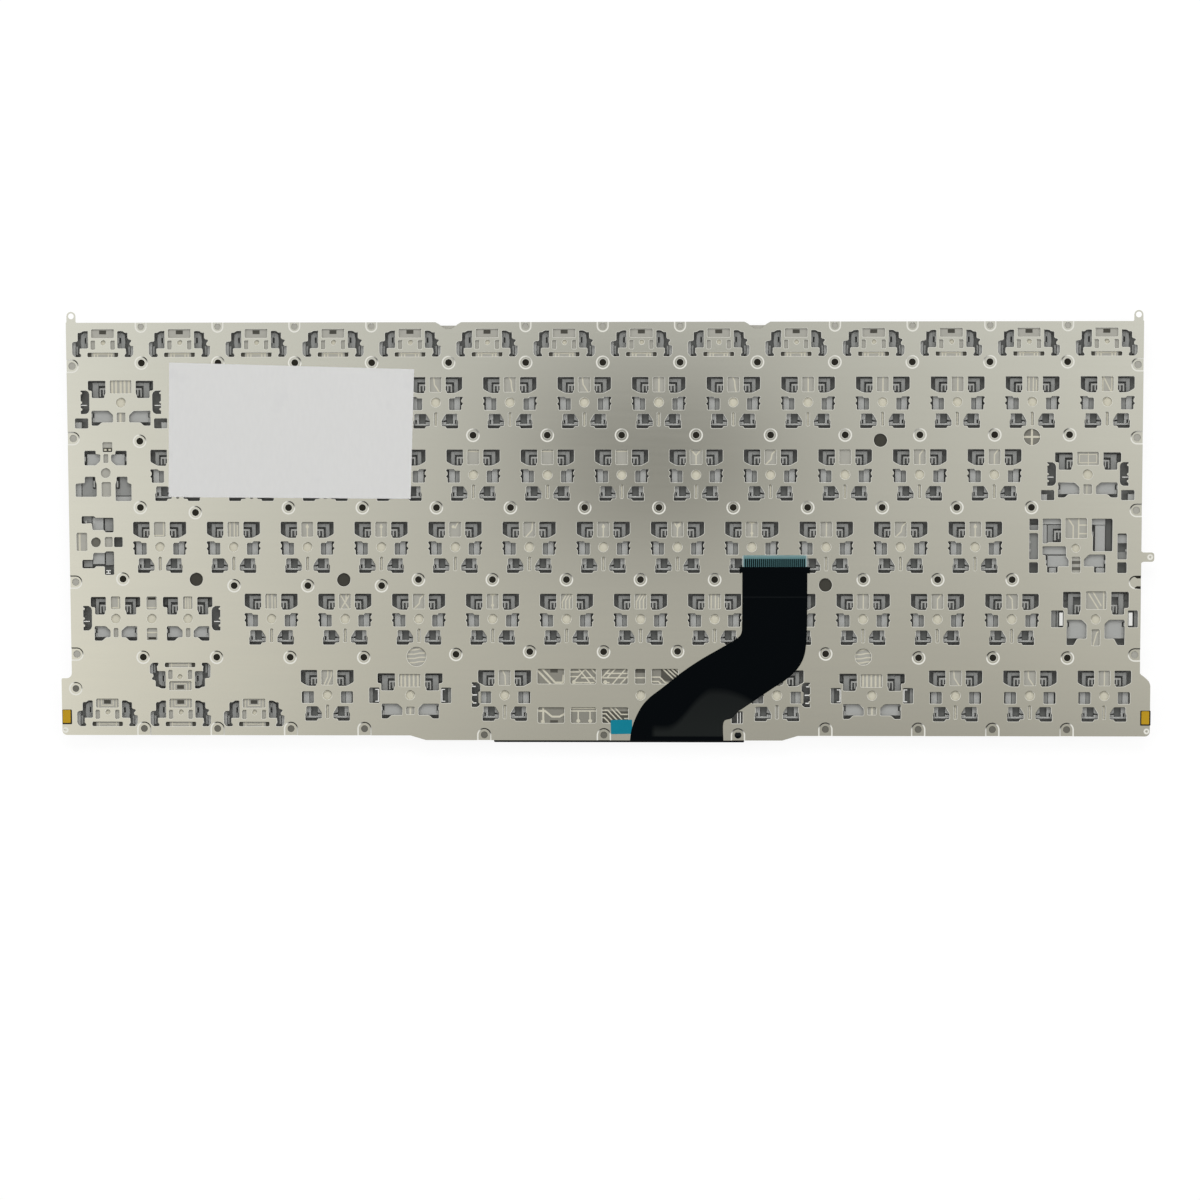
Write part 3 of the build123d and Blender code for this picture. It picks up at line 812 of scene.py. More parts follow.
slim = wide_set(slim_hinge, slim_foot, [],
                [box(-1.2, 2.5, 1.2, 5.7), box(-0.6, -4.8, 0.6, -2.5), disc(1.22)])
shift_right = twinned(slim, SHIFT_REACH)
shift_right["through"] += both([(x + 7.4, y * 1.05) for x, y in guide_slot])
shift_right["windows"] += [box(-1.3, 2.4, 1.3, 5.7), box(-1.35, -5.6, 1.35, -2.5), disc(1.22)]
shift_right["bars"] = both(box(16.1, -0.82, 17.7, -0.6))
space = twinned(plain_letter, SPACE_REACH)
space["through"] += both([(x + 33.27, y * 1.06) for x, y in guide_slot]) + [box(23.4, -7.3, 26.3, -4.2)]
space["windows"] += [disc(1.2)]
space["bars"] = both(box(42.4, -2.2, 43.6, -1.9), box(42.2, -0.1, 43.6, 0.2), box(42.6, 2.1, 43.6, 2.4))
space["bars"] += [box(24.85, -7.2, 25.08, -4.5), box(25.55, -7.2, 25.8, -4.4)]
caps = {
    "through": [
        box(-12.4, 4.3, -10.1, 7.2), box(-12.4, -3.2, -10.1, 3.5), box(-12.4, -6.7, -10.1, -4.0),
        box(10.1, -3.2, 12.5, 3.4), box(10.1, -6.7, 12.5, -4.0),
        turned([(-9.0, 7.2), (-4.3, 7.2), (-4.3, 1.2), (-7.6, 1.2), (-8.0, 0.9), (-9.0, 0.9)]),
        turned([(3.5, 7.2), (8.8, 7.2), (8.8, -1.1), (7.3, -1.1), (3.8, -1.1), (3.8, 2.6), (3.5, 3.2)]),
        turned([(-9.0, 0.1), (-3.0, 0.1), (-3.0, -2.4), (-2.3, -3.4), (-2.3, -5.0), (-5.1, -5.0),
                (-5.1, -6.6), (-7.8, -6.6), (-7.8, -5.0), (-8.2, -4.4), (-8.2, -2.1), (-9.0, -2.1)]),
        turned([(2.9, -2.0), (7.1, -2.0), (7.1, -6.6), (4.2, -6.6), (4.2, -5.0), (1.6, -5.0), (1.6, -3.3)]),
    ],
    "windows": [box(-3.2, 2.3, 2.3, 7.3), box(-1.5, -6.6, 0.7, -2.6), disc(1.05, -0.5, -0.3)],
    "pale": [box(-9.2, 5.75, -4.1, 7.4), box(-9.2, 0.7, -7.9, 5.6), box(3.3, 5.6, 7.0, 7.4),
             box(4.4, -1.4, 6.95, 5.45), box(-7.7, -5.2, -2.2, -2.3), box(-8.9, -2.0, -2.9, 0.3),
             box(1.4, -5.2, 6.75, -1.8), box(-7.3, -6.8, -5.4, -5.4), box(4.7, -6.8, 6.9, -5.4),
             box(10.0, 0.9, 12.7, 3.1)],
    "mid": [box(-7.7, 1.0, -6.3, 5.55), box(-6.3, 4.6, -4.1, 5.55), box(-12.5, -3.3, -10.0, 3.6),
            box(-12.5, 4.2, -10.0, 5.6), box(10.0, -3.3, 12.6, -1.4)],
    "deep": [box(7.1, -1.3, 8.7, 7.1), box(-12.5, -6.8, -10.0, -3.9), box(10.0, -6.8, 12.6, -3.9)],
    "hooks": [turned([(-6.1, 4.2), (-6.1, 1.7), (-5.6, 1.7), (-5.6, 3.7), (-5.1, 3.7), (-5.1, 2.0),
                      (-4.75, 2.0), (-4.75, 3.7), (-4.3, 3.7), (-4.3, 4.2)]), box(3.55, 2.6, 3.95, 3.9),
              box(-8.2, -4.3, -7.85, -3.4), box(6.8, -4.3, 7.15, -3.4), box(-12.4, 1.0, -12.0, 1.6),
              box(-12.4, -1.2, -12.0, -0.6), box(12.1, -1.2, 12.5, -0.6)],
}
enter = {
    "through": [
        turned([(-4.85, 6.2), (-4.85, 2.5), (-1.95, 2.5), (-0.75, 3.6), (-0.75, 5.2), (-1.95, 5.3),
                (-1.95, 6.2)]),
        turned([(6.05, 6.2), (6.05, 2.5), (3.25, 2.5), (2.05, 3.6), (2.05, 5.2), (3.15, 5.3), (3.15, 6.2)]),
        turned([(-4.85, -0.5), (-2.15, -0.5), (-2.15, -1.6), (-1.85, -2.3), (-1.85, -5.6), (-7.25, -5.6),
                (-7.25, -2.3), (-4.85, -2.1)]),
        turned([(6.15, -0.5), (3.35, -0.5), (3.35, -1.6), (3.05, -2.3), (3.05, -6.7), (7.15, -6.7),
                (7.15, -2.4), (6.15, -2.1)]),
        turned([(-5.85, -10.7), (-2.55, -10.7), (-2.35, -11.1), (2.35, -11.1), (2.35, -14.8), (0.25, -14.8),
                (-0.05, -14.2), (-3.05, -14.2), (-3.25, -12.4), (-5.85, -12.6)]),
        turned([(2.35, -19.8), (2.35, -25.8), (-0.05, -25.8), (-0.05, -23.6), (-2.45, -23.6),
                (-2.55, -24.1), (-5.85, -24.1), (-5.85, -22.0), (-3.15, -22.0), (-2.95, -20.2),
                (0.05, -20.1), (0.25, -19.8)]),
        box(2.45, -18.6, 4.65, -16.1),
    ],
    "windows": [
        box(-0.15, 5.9, 2.35, 8.4), box(0.05, 3.1, 1.25, 5.3), box(-0.55, -5.6, 1.85, -1.9),
        disc(1.25, 0.55, 0.5), box(-7.25, -19.6, -4.55, -15.0), box(0.05, -18.6, 2.05, -16.1),
        disc(1.25, -2.25, -17.4),
    ],
    "pale": [
        box(-4.25, 2.3, -0.55, 5.3), box(1.85, 2.3, 5.45, 5.3), box(-7.45, -5.8, -5.85, -2.1),
        box(2.85, -6.9, 7.35, -5.6),
        box(-3.15, -14.4, -0.35, -11.0), box(-3.15, -23.1, -0.15, -20.1),
    ],
    "mid": [
        box(0.05, -14.6, 2.15, -11.3), box(0.15, -23.4, 2.15, -20.0), box(-5.45, -12.4, -3.35, -10.5),
        box(-5.55, -23.9, -3.35, -22.2), box(-5.65, -5.8, -2.85, -0.3), box(-2.85, -5.8, -1.65, -3.6),
        box(4.05, -5.4, 7.35, -0.3), box(2.85, -5.4, 4.05, -3.6),
    ],
    "deep": [
        box(-5.55, -4.9, -4.75, -2.4), box(6.05, -4.9, 6.85, -2.4), box(-0.25, -26.1, 2.55, -23.6),
        box(2.15, -18.9, 4.95, -15.8),
    ],
    "hooks": [
        box(-2.65, -3.2, -2.2, -1.5), box(3.35, -3.2, 3.75, -1.5), box(-4.85, 3.5, -4.55, 4.7),
        box(5.75, 3.5, 6.05, 4.7), box(-4.95, -12.5, -4.45, -11.8),
    ],
    "bars": [
        box(0.25, -24.85, 1.45, -24.6), box(0.25, -25.55, 1.45, -25.3), box(0.7, -25.3, 1.0, -24.85),
    ],
}
SETS = {
    "letter": letter, "plain_letter": plain_letter, "half": half, "half_turned": half_turned,
    "delete": delete, "command": command, "shift_left": shift_left, "shift_right": shift_right,
    "space": space, "caps": caps, "enter": enter,
}
SET_NAMES = list(SETS)

# ---- Keys ----

Key = namedtuple("Key", "joint kind x y loop")
travelling = {}


def key_row(row, first_column, count):
    """Centres of a run of single keys, along -X from its last column."""
    return [(column_x(first_column + count - 1 - i), ROWS[row]) for i in range(count)]


def key_loop(x, y, pitches, depth):
    """The loop of a key so many pitches wide."""
    width = pitches * KEY_PITCH - KEY_SPACE
    return box(x - width / 2, y - depth / 2, x + width / 2, y + depth / 2)


def add_key(name, joint, kind, x, y, pitches, depth=KEY_DEPTH):
    """Lists a key that travels: its joint, the kind of its cut-outs, its hub and its loop."""
    travelling[name] = Key(joint, kind, x, y - HUB_DROP, key_loop(x, y, pitches, depth))


add_key("delete_key", "delete_press", "delete", column_x(0.75), ROWS["number"], 1.5)
add_key("tab_key", "tab_press", "delete", column_x(13.75), ROWS["tab"], 1.5)
add_key("caps_key", "caps_press", "caps", column_x(13.625), ROWS["home"], 1.75)
add_key("shift_left_key", "shift_left_press", "shift_left", column_x(13.875), ROWS["shift"], 1.25)
add_key("shift_right_key", "shift_right_press", "shift_right", column_x(1.125), ROWS["shift"], 2.25)
add_key("command_left_key", "command_left_press", "command", column_x(10.875), ROWS["bottom"], 1.25,
        BOTTOM_KEY_DEPTH)
add_key("command_right_key", "command_right_press", "command", column_x(4.625), ROWS["bottom"], 1.25,
        BOTTOM_KEY_DEPTH)
add_key("space_key", "space_press", "space", column_x(7.75), ROWS["bottom"], 5, BOTTOM_KEY_DEPTH)
for row, first_column, count in (("tab", 1.5, 12), ("home", 1.25, 12), ("shift", 2.75, 11)):
    for i, (x, y) in enumerate(key_row(row, first_column, count), 1):
        add_key(f"{row}_row_key_{i:02d}", f"{row}_row_press_{i:02d}", "letter", x, y, 1)
for i, column in enumerate((14, 13, 12, 3.5), 1):
    add_key(f"bottom_row_key_{i}", f"bottom_row_press_{i}", "plain_letter", column_x(column),
            ROWS["bottom"], 1, BOTTOM_KEY_DEPTH)
ENTER_FOOT = 11.0875
enter_x = column_x(0.5)
half_width = (KEY_PITCH - KEY_SPACE) / 2
enter_left, enter_right = enter_x - half_width, enter_x + half_width
enter_low, enter_step = ROWS["home"] - KEY_DEPTH / 2, ROWS["tab"] - KEY_DEPTH / 2
enter_high = ROWS["tab"] + KEY_DEPTH / 2
enter_loop = [(enter_left, enter_low), (enter_left + ENTER_FOOT, enter_low),
              (enter_left + ENTER_FOOT, enter_step), (enter_right, enter_step), (enter_right, enter_high),
              (enter_left, enter_high)]
travelling["enter_key"] = Key("enter_press", "enter", enter_x, ROWS["tab"] - HUB_DROP, enter_loop)

number_spots = key_row("number", 2, 13)
function_spots = [((6.5 - i) * FUNCTION_PITCH, ROWS["function"]) for i in range(14)]
arrow_spots = [(column_x(2.5 - i), -48.54) for i in range(3)]
up_spot = (column_x(1.5), -38.74)

fixed_sets = [("letter", x, y - HUB_DROP) for x, y in number_spots]
fixed_sets += [("half", x, y) for x, y in function_spots + arrow_spots] + [("half_turned", *up_spot)]
all_sets = fixed_sets + [(key.kind, key.x, key.y) for key in travelling.values()]


def set_spots(sets, first=0):
    """Spots for the sets of cut-outs, their shapes numbered from a first one."""
    return [(first + SET_NAMES.index(kind), x, y, 0) for kind, x, y in sets]


def hub(name):
    """Where a travelling key's hub is."""
    return travelling[name].x, travelling[name].y


# ---- Back plate ----

SEAT_RIM, SEAT_FLAT, SEAT_HOLE, SEAT_DEPTH = 1.76, 1.41, 0.9, 0.27
SEAT_SLOPE = 0.35
EDGE_BREAK, EDGE_RUN = 0.07, 1.28
SHARP_ANGLE = 17
FLAT, STEEP = 0.9999, 0.3
seat_spots = [(j * FUNCTION_PITCH, 42.08) for j in range(-6, 7)]
seat_spots += [(column_x(i + 2.5), 23.46) for i in range(12)]
seat_spots += [(column_x(c), 4.86) for c in range(3, 14)]
seat_spots += [(-119.1, 22.0), (-119.2, 4.9), (-105.0, 3.6), (-124.0, -13.6)]
seat_spots += [(column_x(i + 4.75), -13.72) for i in range(9)]
seat_spots += [(column_x(i + 2.25), -15.31) for i in range(3)]
seat_spots += [(column_x(c), -33.9) for c in (1, 2, 3, 4, 11.5, 12.5, 13.5)]
seat_spots += [(-38.1, -33.1), (-19.05, -32.4), (0.0, -32.4), (19.05, -32.3), (57.1, -32.9),
               (-136.7, -42.1)]
dimple_spots = [(-139.5, -52.9), (139.5, -52.9), (TAB_END - 1.05, -7.9)]
dot_spots = [(70.9, 22.1), (-105.0, -13.7), (-66.9, -13.8), (57.0, -15.1)]
round_windows = [(109.5, 22.9, 2.1), (-48.3, -33.7, 2.5), (66.8, -33.7, 2.1)]
trace_windows = [(-17.1, -40.7, -10.2, -36.9), (-8.6, -40.7, -2.0, -36.9), (-0.5, -40.7, 6.2, -36.9),
                 (12.4, -40.7, 19.2, -36.9), (8.1, -40.7, 10.7, -36.9), (-17.0, -50.9, -10.2, -46.9),
                 (-8.5, -50.9, -2.0, -46.9), (-0.4, -50.9, 6.3, -46.9)]

# Seats that are cut by an edge: place along the edge, distance in from it, rim, hole
rear_seats = [(j * FUNCTION_PITCH, 1.05, 1.55, 0.82) for j in (-6, -5, -4, -3, -1, 0, 1, 3, 4, 5, 6)]
front_seats = [(x, 1.7, 1.85, SEAT_HOLE)
               for x in (-119.06, -100.0, -80.96, -61.9, 57.1, 80.96, 100.0, 119.06)]
lip_seats = [(x, 1.35, 1.85, SEAT_HOLE) for x in (-30.9, 0.0, 34.6)]
left_seats = [(y, 1.4, 1.75, 0.95) for y in (41.3, 22.7, -14.4, -33.1)]
right_seats = [(y, 1.4, 1.75, 0.95) for y in (41.3, 22.7, 4.1, -33.1)] + [(-14.4, 1.4, 1.75, 0)]


def arc(x, y, radius, start, end, steps):
    """Points of an arc between two angles in degrees."""
    angles = [radians(start + (end - start) * i / steps) for i in range(steps + 1)]
    return [(x + radius * cos(a), y + radius * sin(a)) for a in angles]


def edge_points(start, end, seats):
    """The plate's edge from start to end with the seats that it cuts: rim points, foot points, seats."""
    start, end = Vector(start), Vector(end)
    along = (end - start).normalized()
    inward = Vector((-along.y, along.x))
    axis = 0 if abs(along.x) > abs(along.y) else 1
    rim, foot, cuts = [tuple(start)], [tuple(start)], []
    for place, depth, radius, hole in sorted(seats, key=lambda seat: seat[0] * along[axis]):
        base = start + along * ((place - start[axis]) / along[axis])

        def at(s, t):
            """A point so far along the edge and in from it."""
            return tuple(base + along * s + inward * t)

        def cup(r):
            """The seat's round end, open to the edge."""
            bow = [(r * cos(pi * i / 14), depth + r * sin(pi * i / 14)) for i in range(15)]
            return [at(-r, 0)] + [at(-s, t) for s, t in bow] + [at(r, 0)]

        rim += cup(radius)
        foot += [at(-radius, 0), at(radius, 0)]
        cuts.append((cup(radius), cup(radius - SEAT_SLOPE), disc(hole, *at(0, depth)) if hole else None))
    return rim + [tuple(end)], foot + [tuple(end)], cuts


def plain_loop(points):
    """The loop without points that repeat the one before."""
    pairs = zip(points[-1:] + points[:-1], points)
    return [here for before, here in pairs if (Vector(here) - Vector(before)).length > 0.001]


def plate_outline():
    """Rim and foot loops of the plate's edge, and the seats that the edge cuts."""
    def run(start, end, seats):
        """One straight run of the edge, with those of the seats that lie along it."""
        axis = 0 if start[1] == end[1] else 1
        low, high = sorted((start[axis], end[axis]))
        return edge_points(start, end, [seat for seat in seats if low < seat[0] < high])

    ear_right = arc(EAR_X - 1.2, FRONT_Y + 1.2, 1.2, -90, 0, 5) + [
        (EAR_X, -41.2), (EAR_X - 0.1, -40.6), (EAR_X - 0.4, -39.95), (EAR_X - 0.9, -39.4),
        (EAR_X - 1.65, -38.75),
        (EAR_X - 2.4, -38.2)]
    ear_left = arc(-SIDE_X - 1.4, -38.0, 1.4, 0, -90, 5) + [(0.2 - EAR_X, -39.4), (-EAR_X, -39.6)]
    ear_left += arc(1.2 - EAR_X, FRONT_Y + 1.2, 1.2, 180, 270, 5)
    right_tab = [(SIDE_X, -9.4), (SIDE_X + 0.5, -9.1)] + arc(TAB_END - 0.7, -8.4, 0.7, -90, 0, 4)
    right_tab += arc(TAB_END - 0.7, -7.4, 0.7, 0, 90, 4) + [(SIDE_X + 0.5, -6.7), (SIDE_X, -6.4)]
    right_eye = [(SIDE_X, REAR_Y), (137.45, 52.6), *arc(EYE_X, EYE_Y, 1.15, 0, 180, 8), (135.15, 52.6),
                 (134.95, REAR_Y)]
    left_eye = [(-x, y) for x, y in right_eye[::-1]]

    def notch(x):
        """A shallow notch in the rear edge."""
        half_notch = [(3.3, 0.0), (2.4, -0.5), (1.4, -1.35), (0.6, -1.75)]
        near_side = [(x + s, REAR_Y + t) for s, t in half_notch]
        return near_side + [(x - s, REAR_Y + t) for s, t in half_notch[::-1]]

    notch_x = 2 * FUNCTION_PITCH
    order = [
        run((-46.0, LIP_Y), (46.0, LIP_Y), lip_seats),
        run((50.0, FRONT_Y), (EAR_X - 1.2, FRONT_Y), front_seats), ear_right,
        run((SIDE_X, -37.8), (SIDE_X, -9.4), right_seats), right_tab,
        run((SIDE_X, -6.4), (SIDE_X, REAR_Y), right_seats), right_eye,
        run((134.9, REAR_Y), (notch_x + 3.3, REAR_Y), rear_seats), notch(notch_x),
        run((notch_x - 3.3, REAR_Y), (3.3 - notch_x, REAR_Y), rear_seats), notch(-notch_x),
        run((-notch_x - 3.3, REAR_Y), (-134.9, REAR_Y), rear_seats), left_eye,
        run((-SIDE_X, REAR_Y), (-SIDE_X, -37.8), left_seats), ear_left,
        run((1.2 - EAR_X, FRONT_Y), (-50.0, FRONT_Y), front_seats),
    ]
    rim, foot, cuts = [], [], []
    for part in order:
        if isinstance(part, tuple):
            rim += part[0]
            foot += part[1]
            cuts += part[2]
        else:
            rim += part
            foot += part
    return plain_loop(rim), plain_loop(foot), cuts


def hole_shapes(loops, top, low, edge):
    """Rim loop, foot loop and wall of a group of plain openings."""
    rims, feet, walls = Shape(), Shape(), Shape()
    for loop in loops:
        wide = offset(loop, edge * EDGE_RUN)
        rims.outline(wide)
        feet.outline(loop)
        walls.stack([walls.ring(wide, top), walls.ring(loop, top - edge), walls.ring(loop, low)])
    return rims.mesh("rim"), feet.mesh("foot"), walls.mesh("wall")


def seat_shapes(top, low):
    """Rim, foot and dished wall of a screw seat."""
    rims, feet, walls = Shape(), Shape(), Shape()
    rims.outline(disc(SEAT_RIM))
    feet.outline(disc(SEAT_HOLE))
    steps = [(SEAT_RIM, top), (SEAT_FLAT, top - SEAT_DEPTH), (SEAT_HOLE + 0.08, top - SEAT_DEPTH),
             (SEAT_HOLE, top - SEAT_DEPTH - 0.05), (SEAT_HOLE, low)]
    walls.stack([walls.ring(disc(r), z) for r, z in steps])
    return rims.mesh("rim"), feet.mesh("foot"), walls.mesh("wall")


def dimple_shapes(radius, top):
    """Rim, empty foot and dish of a shallow round dimple."""
    rims, walls = Shape(), Shape()
    rims.outline(disc(radius))
    steps = [(radius, top), (radius * 0.72, top - 0.07), (radius * 0.4, top - 0.09)]
    rings = [walls.ring(disc(r), z) for r, z in steps]
    walls.stack(rings)
    walls.faces.append(tuple(rings[-1]))
    return rims.mesh("rim"), Shape().mesh("foot"), walls.mesh("wall")


def outline_shapes(top, low):
    """Rim, foot and walls of the plate's own edge, with the seats that it cuts."""
    rim, foot, cuts = plate_outline()
    rims, feet, walls = Shape(), Shape(), Shape()
    rims.outline(rim)
    feet.outline(foot)
    mouths = {(outer[0], outer[-1]) for outer, _, _ in cuts}
    for a, b in zip(foot, foot[1:] + foot[:1]):
        if (a, b) not in mouths:
            low_pair, high_pair = walls.ring([a, b], low), walls.ring([a, b], top)
            walls.faces.append((low_pair[0], low_pair[1], high_pair[1], high_pair[0]))
    for outer, inner, hole in cuts:
        rise, sink = walls.ring(outer, top), walls.ring(inner, top - SEAT_DEPTH)
        walls.open_strip(sink, rise)
        walls.floor(turned(inner), top - SEAT_DEPTH, hole)
        base = walls.ring([outer[0], outer[-1]], low)
        walls.faces.append((base[0], base[1], rise[-1], sink[-1], sink[0], rise[0]))
        if hole:
            feet.outline(hole)
            walls.stack([walls.ring(hole, top - SEAT_DEPTH), walls.ring(hole, low)])
    for x in (-EYE_X, EYE_X):
        eye = disc(0.75, x, EYE_Y, 16)
        rims.outline(eye)
        feet.outline(eye)
        walls.stack([walls.ring(eye, top), walls.ring(eye, low)])
    return rims.mesh("rim"), feet.mesh("foot"), walls.mesh("wall")


def stamped(name, kinds, spots, top, low, material):
    """A stamped sheet from its kinds of opening, each with a rim, a foot and a wall, set out on spots."""
    parts = ("rims", "feet", "walls")
    shelves = [shelf(f"{name}_{part}", shapes) for part, shapes in zip(parts, zip(*kinds))]
    values = dict(zip(("Rims", "Feet", "Walls"), shelves))
    mesh = grown(stamped_sheet, spots_mesh(spots), **values, Top=top * MM, Underside=low * MM,
                 Finish=material)
    for one in shelves:
        clear_shelf(one)
    mesh.shade_smooth()
    mesh.set_sharp_from_angle(angle=radians(SHARP_ANGLE))
    slopes = [abs(face.normal.z) for face in mesh.polygons]
    mesh.polygons.foreach_set("use_smooth", [slope < FLAT for slope in slopes])
    # Sloped faces are marked for the plate's painted highlight.
    wall_highlight = [1.0 if STEEP < slope < FLAT else 0.0 for slope in slopes]
    mesh.attributes.new("wall", "FLOAT", "FACE").data.foreach_set("value", wall_highlight)
    return mesh


lone_loops = [disc(r, x, y) for x, y, r in round_windows]
lone_loops += [eased(box(*window), 0.25) for window in trace_windows]
plate_kinds = [
    outline_shapes(BACK, PLATE_UNDER), seat_shapes(BACK, PLATE_UNDER),
    hole_shapes([disc(1.72)], BACK, PLATE_UNDER, EDGE_BREAK),
    hole_shapes(lone_loops, BACK, PLATE_UNDER, EDGE_BREAK), dimple_shapes(0.75, BACK),
]
plate_spots = [(0, 0, 0, 0), (3, 0, 0, 0)]
for kind, places in ((1, seat_spots), (2, dot_spots), (4, dimple_spots)):
    plate_spots += [(kind, x, y, 0) for x, y in places]
first_set = len(plate_kinds)
for name in SET_NAMES:
    loops = [eased(loop, 0.2 if len(loop) < 18 else 0.08) if len(loop) < 24 else loop
             for loop in SETS[name]["through"] + SETS[name]["windows"]]
    plate_kinds.append(hole_shapes(loops, BACK, PLATE_UNDER, EDGE_BREAK))
plate_spots += set_spots(all_sets, first_set)
plate_mesh = stamped("plate", plate_kinds, plate_spots, BACK, PLATE_UNDER, metal)
piece("back_plate", plate_mesh, "chassis", None, "plate_metal", "base_plate")

# ---- Contact sheet, its traces, its black print and painted shade under the holes ----

FILM_CLEARANCE = 0.25
film_loop = [(-137.35, -53.7), (-49.0, -53.7), (-46.0, -55.1), (46.0, -55.1), (49.0, -53.7),
             (137.35, -53.7), (137.35, 52.1), (43.2, 52.1), (42.6, 51.5), (36.3, 51.5), (35.7, 52.1),
             (-35.7, 52.1), (-36.3, 51.5), (-42.6, 51.5), (-43.2, 52.1), (-137.35, 52.1)]
film_kinds = [hole_shapes([film_loop], FILM_TOP, FILM_UNDER, 0.0)]
for name in SET_NAMES:
    loops = [offset(eased(loop, 0.3), FILM_CLEARANCE) for loop in SETS[name]["through"]]
    film_kinds.append(hole_shapes(loops, FILM_TOP, FILM_UNDER, 0.0))
film_spots = [(0, 0, 0, 0)] + set_spots(all_sets, 1)
film_mesh = stamped("film", film_kinds, film_spots, FILM_TOP, FILM_UNDER, film)
piece("contact_sheet", film_mesh, "chassis", None, "contact_film", "membrane")


LINE_HEIGHT, LINE_STEP, PAD_HEIGHT = 0.016, 0.002, 0.014


def stroke(shape, points, width, height=0.018):
    """A printed line along points, with square ends."""
    line = [Vector(p) for p in points]
    left, right = [], []
    for i, here in enumerate(line):
        before, after = line[max(i - 1, 0)], line[min(i + 1, len(line) - 1)]
        first = (here - before).normalized() if i else (after - here).normalized()
        second = (after - here).normalized() if i < len(line) - 1 else first
        normal = Vector((-(first + second).y, (first + second).x)).normalized()
        normal *= width / 2 / max(0.5, normal.dot(Vector((-first.y, first.x))))
        left.append(tuple(here + normal))
        right.append(tuple(here - normal))
    shape.prism(right + left[::-1], FILM_TOP, FILM_TOP + height, 0.0)


def traces(lines, blobs=(), width=0.34):
    """Printed lines and contact blobs of one window, each line a little above the last."""
    shape = Shape()
    for i, line in enumerate(lines):
        stroke(shape, line, width, LINE_HEIGHT + LINE_STEP * i)
    for x, y, radius in blobs:
        shape.prism(disc(radius, x, y, 16), FILM_TOP, FILM_TOP + PAD_HEIGHT, 0.0)
    return shape


LOW, HIGH = 2.3, 6.7
letter_lines = {
    "straight": [[(0.05, HIGH), (0.05, LOW)]],
    "bent_right": [[(-0.5, HIGH), (-0.3, 4.5), (1.1, LOW)]],
    "curved": [[(-0.4, HIGH), (0.3, 5.4), (0.45, 3.8), (0.8, LOW)]],
    "top_bar": [[(-1.7, 6.0), (1.7, 6.0)]],
    "fork": [[(-1.3, 6.4), (0.0, 4.9), (0.0, LOW)], [(1.3, 6.4), (0.0, 4.9)]],
    "step": [[(1.4, 6.3), (0.4, 5.3), (0.1, 3.9), (-0.8, 3.0), (-1.5, LOW)]],
    "pin": [[(0.0, LOW), (0.0, 5.9)]],
    "corner": [[(-1.2, HIGH), (0.7, 3.0), (1.2, LOW)], [(1.1, HIGH), (1.1, LOW)],
               [(-1.2, 6.0), (-1.2, LOW)]],
    "slants": [[(-1.1, LOW), (-1.1, 4.4), (0.2, HIGH)], [(-0.2, LOW), (-0.2, 4.7), (1.0, HIGH)],
               [(0.75, LOW), (0.75, 5.0), (1.7, HIGH)]],
    "bars": [[(-0.9, HIGH), (-0.9, LOW)], [(0.2, HIGH), (0.2, LOW)], [(1.0, 5.6), (1.0, LOW)]],
    "cross": [[(-1.5, HIGH), (1.2, LOW)], [(1.5, HIGH), (-1.2, LOW)], [(0.3, HIGH), (0.3, 4.4)]],
    "plain": [],
    "from_right": [[(1.2, HIGH), (0.0, 5.1), (0.0, LOW)]],
    "from_left": [[(-1.3, HIGH), (0.05, 5.1), (0.2, LOW)]],
    "fork_pin": [[(-0.1, LOW), (0.0, 4.7), (0.9, 6.6)], [(-0.8, 6.2), (0.0, 4.9)]],
    "tee": [[(0.0, LOW), (0.0, 6.2)], [(-0.7, 6.2), (0.7, 6.2)]],
    "bent_left": [[(0.9, HIGH), (0.7, 4.3), (-1.1, LOW)]],
    "tick": [[(-0.7, 5.4), (0.0, 4.9), (1.0, HIGH)]],
    "frame": [[(-1.7, 2.95), (1.0, 2.95), (1.0, HIGH)]],
    "pair": [[(0.2, HIGH), (0.1, 4.7), (-1.0, LOW)], [(1.1, HIGH), (1.0, 4.7), (-0.1, LOW)]],
}
letter_pads = {"pin": (0.0, 5.2, 0.42), "fork_pin": (0.35, 5.6, 0.45), "tee": (0.0, 3.5, 0.4),
               "tick": (-0.5, 5.2, 0.4)}
LINE_NAMES = list(letter_lines)
letter_traces = {
    "number": ("corner", "bars", "straight", "straight", "straight", "curved", "straight", "bent_right",
               "curved", "bent_right", "straight", "straight", "straight"),
    "tab": ("from_right", "from_right", "plain", "step", "fork", "top_bar", "top_bar", "top_bar", "bars",
            "straight", "bars", "pin"),
    "home": ("pin", "step", "straight", "tee", "fork_pin", "pin", "bent_left", "tick", "pin", "pin", "bars",
             "frame"),
    "shift": ("from_left", "from_right", "straight", "bars", "bars", "slants", "slants", "tee", "step",
              "cross", "bars"),
    "bottom": ("straight", "bent_right", "bent_right", "pair"),
}
CREAM = (0, 0, 1.35)
slit_line = [(0.0, -6.4), (0.0, -2.3)]
trace_shapes = [traces(lines + [slit_line], [CREAM] + ([letter_pads[name]] if name in letter_pads else []))
                for name, lines in letter_lines.items()]


def uprights(low, high, *places):
    """Upright lines between two heights, at places along X."""
    return [[(x, low), (x, high)] for x in places]


